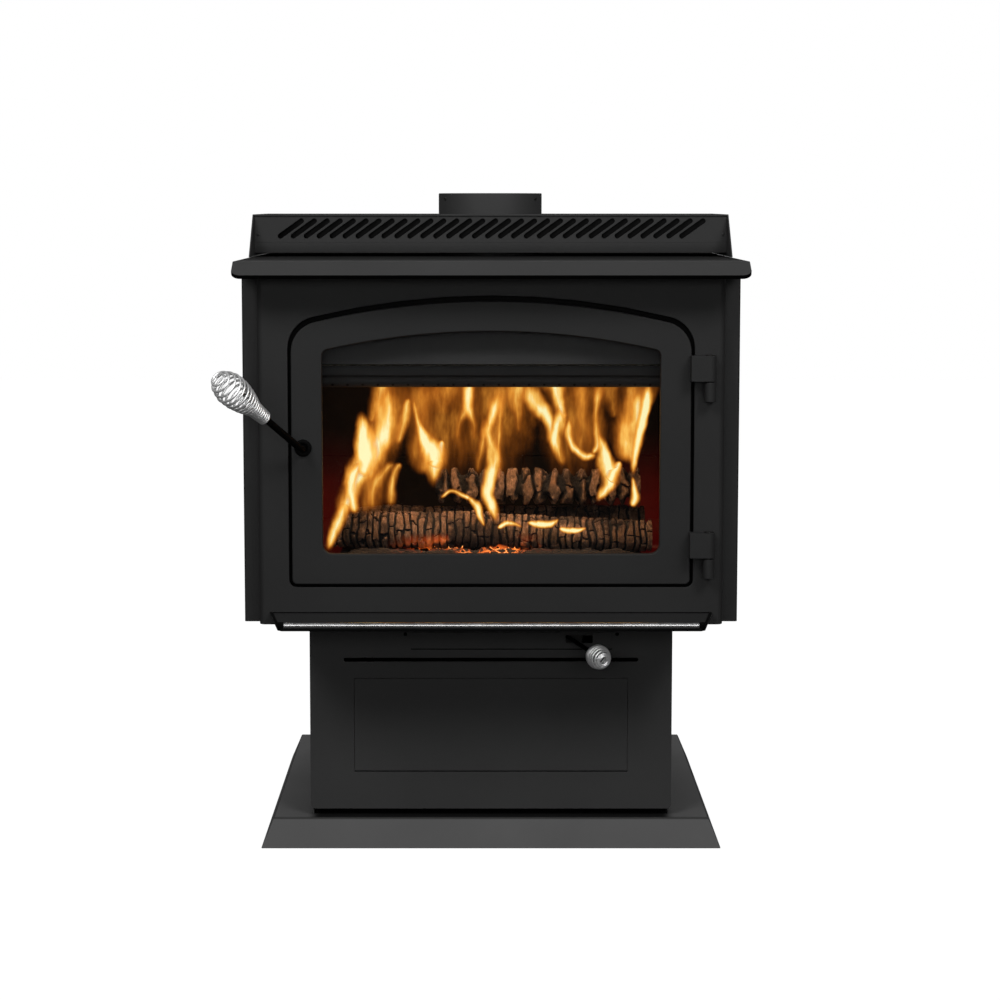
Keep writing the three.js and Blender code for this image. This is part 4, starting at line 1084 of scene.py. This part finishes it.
LOG_STEP = 1.1
LOG_SIDES = 110
SETTLING = [(0, (0.72, -5)), (25, (0.95, -1)), (60, (1.0, 0)), (230, (1.0, 0)), (330, (0.93, -5))]
SETTLING += [(450, (0.86, -9))]
EVEN = [(0, (0.9, 0)), (30, (1, 0)), (400, (1, 0))]
FINGERS = [(0, (0.86, 0)), (20, (1.0, 0)), (250, (1.0, 0)), (294, (1.06, 0))]
# Each log: its ends, radius, block size, groove, shape as (place, (taper, drop)) and noise seed.
LOGS = {
    "log_front": ((-229, -109, 422), (229, -109, 422), 28, (10.5, 34), 2.5, SETTLING, 1),
    "log_rear": ((-204, -32, 421), (224, -32, 421), 27, (15, 28), 2.2, EVEN, 4),
    "log_top": ((-79, -74, 480), (214, -74, 480), 28, (20, 70), 7.5, FINGERS, 9),
}


def build_logs():
    for node, log in LOGS.items():
        add_piece(node + "_char", charred_log(*log), "bark", stands_for=[node])


def build_embers():
    """A bed of coals: a lumpy surface over the floor bricks, hollowed under the two long logs."""
    columns, rows = 200, 120
    left, front, width, depth, floor = BED.values()
    troughs, trough_width = (-109, -32), 17
    vertices = []
    for j in range(rows + 1):
        for i in range(columns + 1):
            x = left + width * i / columns
            y = front + depth * j / rows
            rim = min(eased(-215, -185, x), eased(-215, -185, -x), eased(-196, -150, y), eased(-72, -40, -y))
            lump = noise.cell_vector(Vector((x * 0.07, y * 0.07, 2)))[0] * 4
            grain = noise.fractal(Vector((x, y, 4)) * 0.08, 1.0, 2.1, 4) * 3
            hollow = 9 * max(math.exp(-(((y - at) / trough_width) ** 2)) for at in troughs)
            z = floor + rim * min(max(6 + lump + grain, 1), 14) - hollow * rim
            vertices.append((x, y, max(z, floor - 0.2)))
    mesh = mesh_of(vertices, quads(rows + 1, columns + 1))
    add_piece("ember_coals", mesh, "embers", stands_for=["ember_bed"], crease=60)


# Flames end level under the baffle. A ray may pass this many of their sheets.
FLAME_TOP = 649.5
FLAME_LAYERS = 24
# The pieces that hold them, each with the depths it takes in.
FLAME_GROUPS = {"flames_front": (-200, -139), "flames_middle": (-139, -90), "flames_rear": (-90, 0)}
# Each flame: depth, then (x, z, half width, heat) from its root to its tip.
FLAMES = {
    "left_root": (-152, [(-231, 396, 5, 0.7), (-216, 437, 9, 0.9), (-207, 458, 8, 0.9), (-203, 476, 3, 0.7)]),
    "left_main": (-150, [
        (-214, 440, 6, 0.6), (-205, 466, 12, 0.9), (-182, 515, 19, 1.1), (-160, 553, 19, 0.95),
        (-146, 582, 19, 0.8), (-139, 611, 20, 0.75), (-138, 645, 22, 0.7)
    ]),
    "left_core": (-156, [
        (-177, 500, 9, 0.8), (-175, 532, 13, 1.3), (-178, 560, 13, 1.3), (-181, 600, 4, 0.8)
    ]),
    "left_low": (-155, [(-187, 450, 6, 0.8), (-197, 480, 9, 1.0), (-193, 506, 8, 1.0), (-180, 528, 3, 0.8)]),
    "left_licks": (-146, [
        (-166, 452, 8, 0.5), (-162, 487, 11, 0.55), (-152, 508, 10, 0.6), (-130, 522, 4, 0.6)
    ]),
    "left_line": (-148, [(-144, 458, 8, 0.5), (-140, 490, 7, 0.7), (-132, 512, 6, 0.8), (-126, 524, 3, 0.7)]),
    "left_tongue": (-140, [
        (-132, 545, 5, 0.4), (-125, 575, 8, 0.7), (-119, 600, 7, 0.75), (-114, 615, 3, 0.6)
    ]),
    "left_crown": (-130, [(-170, 575, 6, 0.4), (-156, 608, 17, 0.6), (-146, 645, 22, 0.7)]),
    "crown": (-142, [
        (-81, 482, 3, 0.5), (-79, 508, 11, 0.85), (-82, 532, 15, 1.1), (-90, 553, 11, 1.1),
        (-100, 577, 5, 0.9), (-106, 600, 4, 0.8), (-108, 622, 4, 0.5)
    ]),
    "crown_tip": (-144, [(-82, 515, 10, 0.9), (-74, 536, 8, 1.1), (-68, 556, 3, 0.9)]),
    "crown_veil": (-136, [
        (-96, 500, 6, 0.25), (-100, 545, 14, 0.3), (-96, 590, 20, 0.3), (-90, 645, 26, 0.5)
    ]),
    "fork": (-120, [(-22, 546, 5, 0.3), (-24, 575, 6, 0.45), (-33, 602, 8, 0.85), (-33, 645, 10, 1.0)]),
    "fork_left": (-118, [(-47, 550, 5, 0.3), (-44, 575, 6, 0.4), (-35, 602, 8, 0.7), (-31, 645, 9, 0.7)]),
    "centre": (-148, [
        (8, 430, 4, 0.9), (2, 455, 7, 1.1), (-6, 477, 7, 1.05), (-3, 502, 9, 1.05), (3, 524, 10, 1.0),
        (0, 553, 9, 0.85), (-3, 570, 9, 0.8), (3, 592, 9, 0.75), (7, 612, 12, 0.85), (9, 648, 16, 0.95)
    ]),
    "centre_left": (-140, [(-20, 505, 4, 0.3), (-15, 535, 6, 0.5), (-7, 565, 7, 0.55), (4, 592, 8, 0.6)]),
    "centre_edge": (-138, [(12, 500, 3, 0.3), (11, 540, 4, 0.5), (12, 585, 5, 0.55), (14, 630, 9, 0.6)]),
    "arch": (-128, [(40, 560, 4, 0.3), (38, 585, 7, 0.45), (36, 610, 16, 0.75), (40, 648, 26, 0.95)]),
    "diagonal": (-135, [
        (80, 545, 3, 0.5), (85, 568, 7, 0.8), (79, 587, 10, 0.95), (64, 606, 11, 0.95), (52, 645, 13, 1.0)
    ]),
    "second": (-145, [
        (104, 515, 4, 0.4), (97, 536, 7, 0.7), (92, 556, 9, 1.0), (95, 580, 10, 1.05), (95, 605, 4, 0.8)
    ]),
    "second_top": (-130, [(106, 582, 5, 0.6), (97, 604, 10, 0.8), (84, 645, 15, 0.9)]),
    "loop_left": (-143, [
        (150, 535, 4, 0.8), (133, 532, 6, 0.9), (117, 545, 6, 0.9), (109, 566, 6, 0.85),
        (111, 592, 4, 0.6)
    ]),
    "loop_right": (-143, [
        (140, 532, 4, 0.7), (150, 546, 5, 0.9), (150, 570, 5, 0.85), (150, 600, 5, 0.7),
        (158, 645, 9, 0.7)
    ]),
    "loop_veil": (-133, [(130, 528, 8, 0.3), (130, 555, 18, 0.38), (128, 590, 15, 0.4), (124, 645, 20, 0.6)]),
    "right": (-147, [
        (146, 466, 3, 0.7), (160, 486, 8, 1.1), (166, 502, 12, 1.3), (162, 524, 11, 1.2),
        (157, 546, 7, 1.0), (150, 572, 4, 0.8)
    ]),
    "right_tip": (-149, [(164, 498, 8, 1.1), (173, 510, 8, 1.1), (183, 526, 3, 0.9)]),
    "far_root": (-151, [
        (197, 460, 4.2, 0.9), (204, 474, 6.3, 1.2), (201, 488, 4.2, 1), (198, 506, 2.1, 0.8)
    ]),
    "far_line": (-147, [
        (199, 500, 3, 0.8), (202, 531, 5, 0.95), (207, 560, 7, 1.0), (211, 586, 8, 1.1),
        (215, 607, 10, 1.2), (222, 645, 14, 1.25)
    ]),
    "belly": (-138, [
        (203, 515, 3, 0.5), (193, 542, 16, 0.68), (191, 566, 20, 0.7), (200, 590, 17, 0.75),
        (212, 645, 14, 0.9)
    ]),
    "lap_left": (-146, [
        (-8, 430, 1.8, 0.66), (-14, 446, 4.2, 1.04), (-20, 464, 5.4, 1.04), (-34, 476, 2.4, 0.66)
    ]),
    "lap_back": (-141, [
        (-72, 470, 2.4, 0.57), (-56, 482, 3, 0.76), (-40, 476, 3.6, 0.76), (-24, 468, 2.4, 0.66)
    ]),
    "lap_centre": (-147, [
        (8, 430, 2.4, 0.85), (22, 436, 4.2, 1.05), (34, 436, 3.6, 0.95), (46, 431, 2.4, 0.6)
    ]),
    "lap_right": (-147, [
        (50, 439, 2.4, 0.85), (66, 437, 4.8, 1.19), (84, 436, 4.8, 1.19), (97, 444, 1.8, 0.8)
    ]),
    "lap_far": (-147, [
        (95, 430, 2.4, 0.85), (108, 427, 4.2, 1.14), (124, 427, 3.6, 1.1), (136, 431, 1.8, 0.8)
    ]),
    "top_veil": (-112, [(-70, 585, 8, 0.2), (-66, 612, 18, 0.35), (-60, 648, 28, 0.6)]),
    "top_right_veil": (-112, [(175, 580, 5, 0.25), (170, 610, 13, 0.4), (168, 648, 20, 0.55)]),
    "left_veil": (-128, [
        (-176, 440, 12, 0.35), (-168, 500, 24, 0.42), (-150, 560, 26, 0.4), (-132, 645, 24, 0.5)
    ]),
    "crown_glow": (-126, [
        (-92, 500, 10, 0.4), (-96, 540, 20, 0.48), (-104, 590, 20, 0.42), (-100, 645, 24, 0.5)
    ]),
    "belly_glow": (-127, [
        (196, 520, 10, 0.4), (190, 556, 20, 0.5), (196, 600, 22, 0.5), (204, 645, 20, 0.6)
    ]),
    "haze_left": (-20, [(-70, 470, 18, 0.12), (-70, 540, 36, 0.36), (-66, 645, 48, 0.46)]),
    "haze_middle": (-10, [(10, 470, 30, 0.12), (0, 540, 48, 0.34), (10, 645, 60, 0.46)]),
    "haze_right": (-15, [(110, 480, 30, 0.12), (120, 550, 46, 0.34), (130, 645, 56, 0.42)]),
}


def flame_ribbon(depth, spine):
    """Points, faces and (across, along, heat) of one curved sheet of flame."""
    line = smooth_path(spine, 9)
    lanes = 8
    points, facts = [], []
    for i, (x, z, half, heat) in enumerate(line):
        x0, z0 = line[max(i - 1, 0)][:2]
        x1, z1 = line[min(i + 1, len(line) - 1)][:2]
        along = Vector((x1 - x0, z1 - z0)).normalized()
        for k in range(lanes + 1):
            across = 2 * k / lanes - 1
            reach = across * half * 1.95
            bulge = (1 - across * across) * half * 0.35
            sway = 3 * math.sin(z * 0.05 + x * 0.03)
            points.append((x + along.y * reach, depth - bulge + sway, z - along.x * reach))
            facts.append((across * 1.35, i / (len(line) - 1), heat))
    return points, quads(len(line), lanes + 1), facts


def build_flames():
    for name, (near, far) in FLAME_GROUPS.items():
        points, faces, facts = [], [], []
        for depth, spine in FLAMES.values():
            if near <= depth < far:
                start = len(points)
                sheet, cells, values = flame_ribbon(depth, spine)
                points += [(x, y, min(z, FLAME_TOP)) for x, y, z in sheet]
                faces += [tuple(start + v for v in cell) for cell in cells]
                facts += values
        mesh = mesh_of(points, faces)
        data = mesh.attributes.new("gas", "FLOAT_VECTOR", "POINT").data
        data.foreach_set("vector", [v for fact in facts for v in fact])
        add_piece(name, mesh, "flame", crease=180)


# ---- Studio and camera, in metres and watts ----

WHITE = (1, 1, 1)
WARM = (1.0, 0.55, 0.25)
BACKDROP = 1.0
AMBIENT = 0.09
FLOOR_GLOW = 1.0
FLOOR_BOUNCE = 0.05
CAMERA = {"place": (-0.0122, -3.3112, 0.8865), "pitch": 5.734, "lens": 81.626, "shift": (0.0179, -0.07)}


def camera_white(tree, shown, lit):
    """Two shaders in one: shown for what the camera sees directly, lit for every other ray."""
    path = tree.nodes.new("ShaderNodeLightPath")
    mix = tree.nodes.new("ShaderNodeMixShader")
    tree.links.new(path.outputs["Is Camera Ray"], mix.inputs[0])
    tree.links.new(lit, mix.inputs[1])
    tree.links.new(shown, mix.inputs[2])
    return mix.outputs[0]


def shader(tree, kind, **values):
    """The output of a new shader node with its inputs set."""
    node = tree.nodes.new("ShaderNode" + kind)
    for socket, value in values.items():
        node.inputs[socket].default_value = value
    return node.outputs[0]


def build_world():
    world = bpy.data.worlds.new("studio")
    bpy.context.scene.world = world
    world.use_nodes = True
    tree = world.node_tree
    tree.nodes.clear()
    shown, lit = (shader(tree, "Background", Color=(*WHITE, 1), Strength=s) for s in (BACKDROP, AMBIENT))
    output = tree.nodes.new("ShaderNodeOutputWorld")
    tree.links.new(camera_white(tree, shown, lit), output.inputs["Surface"])


def build_floor():
    half, level = 8000, -0.4
    corners = [(x, y, level) for x, y in ((-half, -half), (half, -half), (half, half), (-half, half))]
    floor = bpy.data.objects.new("floor", mesh_of(corners, [(0, 1, 2, 3)]))
    bpy.context.scene.collection.objects.link(floor)
    material = bpy.data.materials.new("floor")
    material.use_nodes = True
    tree = material.node_tree
    tree.nodes.clear()
    diffuse = shader(tree, "BsdfDiffuse", Color=(*grey(FLOOR_BOUNCE), 1))
    glow = shader(tree, "Emission", Strength=FLOOR_GLOW)
    add = tree.nodes.new("ShaderNodeAddShader")
    tree.links.new(diffuse, add.inputs[0])
    tree.links.new(glow, add.inputs[1])
    output = tree.nodes.new("ShaderNodeOutputMaterial")
    mixed = camera_white(tree, add.outputs[0], diffuse)
    tree.links.new(mixed, output.inputs["Surface"])
    floor.data.materials.append(material)


def area_light(name, place, target, size, power, colour=WHITE, only=(), shines=True):
    """A rectangular lamp. It lights only the pieces named, and shows in reflections if it shines."""
    light = bpy.data.lights.new(name, "AREA")
    light.shape = "RECTANGLE"
    light.size, light.size_y = size
    light.energy = power
    light.color = colour
    lamp = bpy.data.objects.new(name, light)
    lamp.location = Vector(place)
    lamp.rotation_mode = "QUATERNION"
    lamp.rotation_quaternion = (Vector(target) - Vector(place)).to_track_quat("-Z", "Y")
    lamp.visible_glossy = shines
    bpy.context.scene.collection.objects.link(lamp)
    if only:
        lit = bpy.data.collections.new(name + "_lit")
        for piece in only:
            lit.objects.link(bpy.data.objects[piece])
        lamp.light_linking.receiver_collection = lit


def build_lights():
    middle = (0, 0, 0.5)
    area_light("overhead", (0, 0.2, 3.2), middle, (2.4, 2.0), 12, shines=False)
    area_light("front_left", (-1.9, -2.7, 3.3), middle, (1.4, 1.2), 48)
    area_light("front_right", (1.9, -2.7, 3.3), middle, (1.4, 1.2), 48)
    area_light("front_fill", (0, -3.9, 1.2), middle, (3.0, 0.8), 16)
    area_light("rear_fill", (0, 3.2, 2.4), middle, (2.4, 1.6), 60, shines=False)
    hearth = ["log_front_char", "log_rear_char", "log_top_char", "ember_coals", "firebrick_floor"]
    hearth += [wall + "_courses" for wall in ("firebrick_left", "firebrick_right", "firebrick_back")]
    area_light("firelight", (0, -0.205, 0.6), (0, -0.08, 0.44), (0.4, 0.03), 1.35, WARM, hearth)
    wires = ["handle_grip", "air_grip"]
    area_light("wire_left", (-1.6, -2.6, 2.2), middle, (1.6, 1.6), 32, only=wires)
    area_light("wire_right", (1.4, -2.8, 1.4), middle, (1.6, 1.6), 32, only=wires)


def build_camera():
    camera = bpy.data.cameras.new("camera")
    camera.lens = CAMERA["lens"]
    camera.sensor_width = 36
    camera.shift_x, camera.shift_y = CAMERA["shift"]
    camera.clip_start, camera.clip_end = 0.05, 100
    view = bpy.data.objects.new("camera", camera)
    view.location = CAMERA["place"]
    view.rotation_euler = (math.radians(90 - CAMERA["pitch"]), 0, 0)
    bpy.context.scene.collection.objects.link(view)
    bpy.context.scene.camera = view


# ---- Assembly ----

# The CAD shapes that are shown as they are: material, edge width, nodes.
KEPT_SHAPES = [
    ("body_paint", 0.6, ["side_shield_left", "side_shield_right", "rear_heat_shield"]),
    ("body_paint", 0.8, ["body_front_panel"]),
    ("deck_paint", 0.6, ["air_deck"]),
    ("base_paint", 1.2, ["base_pan"]),
    ("pedestal_paint", 0.5, ["pedestal_shell", "pedestal_front", "outside_air_cover", "ash_drawer_front"]),
    ("door_paint", 0.7, ["hinge_bracket_upper", "hinge_bracket_lower"]),
    ("door_paint", 0.7, ["hinge_knuckle_upper", "hinge_knuckle_lower"]),
    # The jamb is black: painted shade in the gap round the door.
    ("black_paint_and_shade", 0.4, ["door_jamb"]),
    ("inner_paint", 0.4, ["baffle_front_bar", "air_wash_plate"]),
    ("sheet_steel", 0.5, ["hinge_pin_upper", "hinge_pin_lower", "latch_cam", "latch_nut"]),
    ("sheet_steel", 0.4, ["base_stiffener", "drawer_runner_left", "drawer_runner_right", "air_inlet_box"]),
    ("sheet_steel", 0.4, ["firebox_shell", "brick_tray", "latch_strike", "glass_retainer"]),
    ("sheet_steel", 0.4, ["air_damper_plate", "ash_drawer_box"]),
    ("firebrick", 1.0, ["firebrick_floor"]),
    ("ceramic_fibre", 1.0, ["baffle_board", "baffle_blanket"]),
    ("cast_iron", 0.6, ["ash_plug"]),
    ("glass", 0.3, ["door_glass"]),
]
for finish, edge_width, shapes in KEPT_SHAPES:
    soften_cad(shapes, finish, edge_width)

build_top_plate()
build_louvres()
build_collar()
build_ash_lip()
build_rail()
build_door()
build_gap_shade()
build_handle()
build_air_cover()
build_air_control()
build_bricks()
build_tubes()
build_logs()
build_embers()
build_flames()
build_world()
build_floor()
build_lights()
build_camera()

scene = bpy.context.scene
scene.view_settings.view_transform = "Standard"
scene.cycles.transparent_max_bounces = FLAME_LAYERS
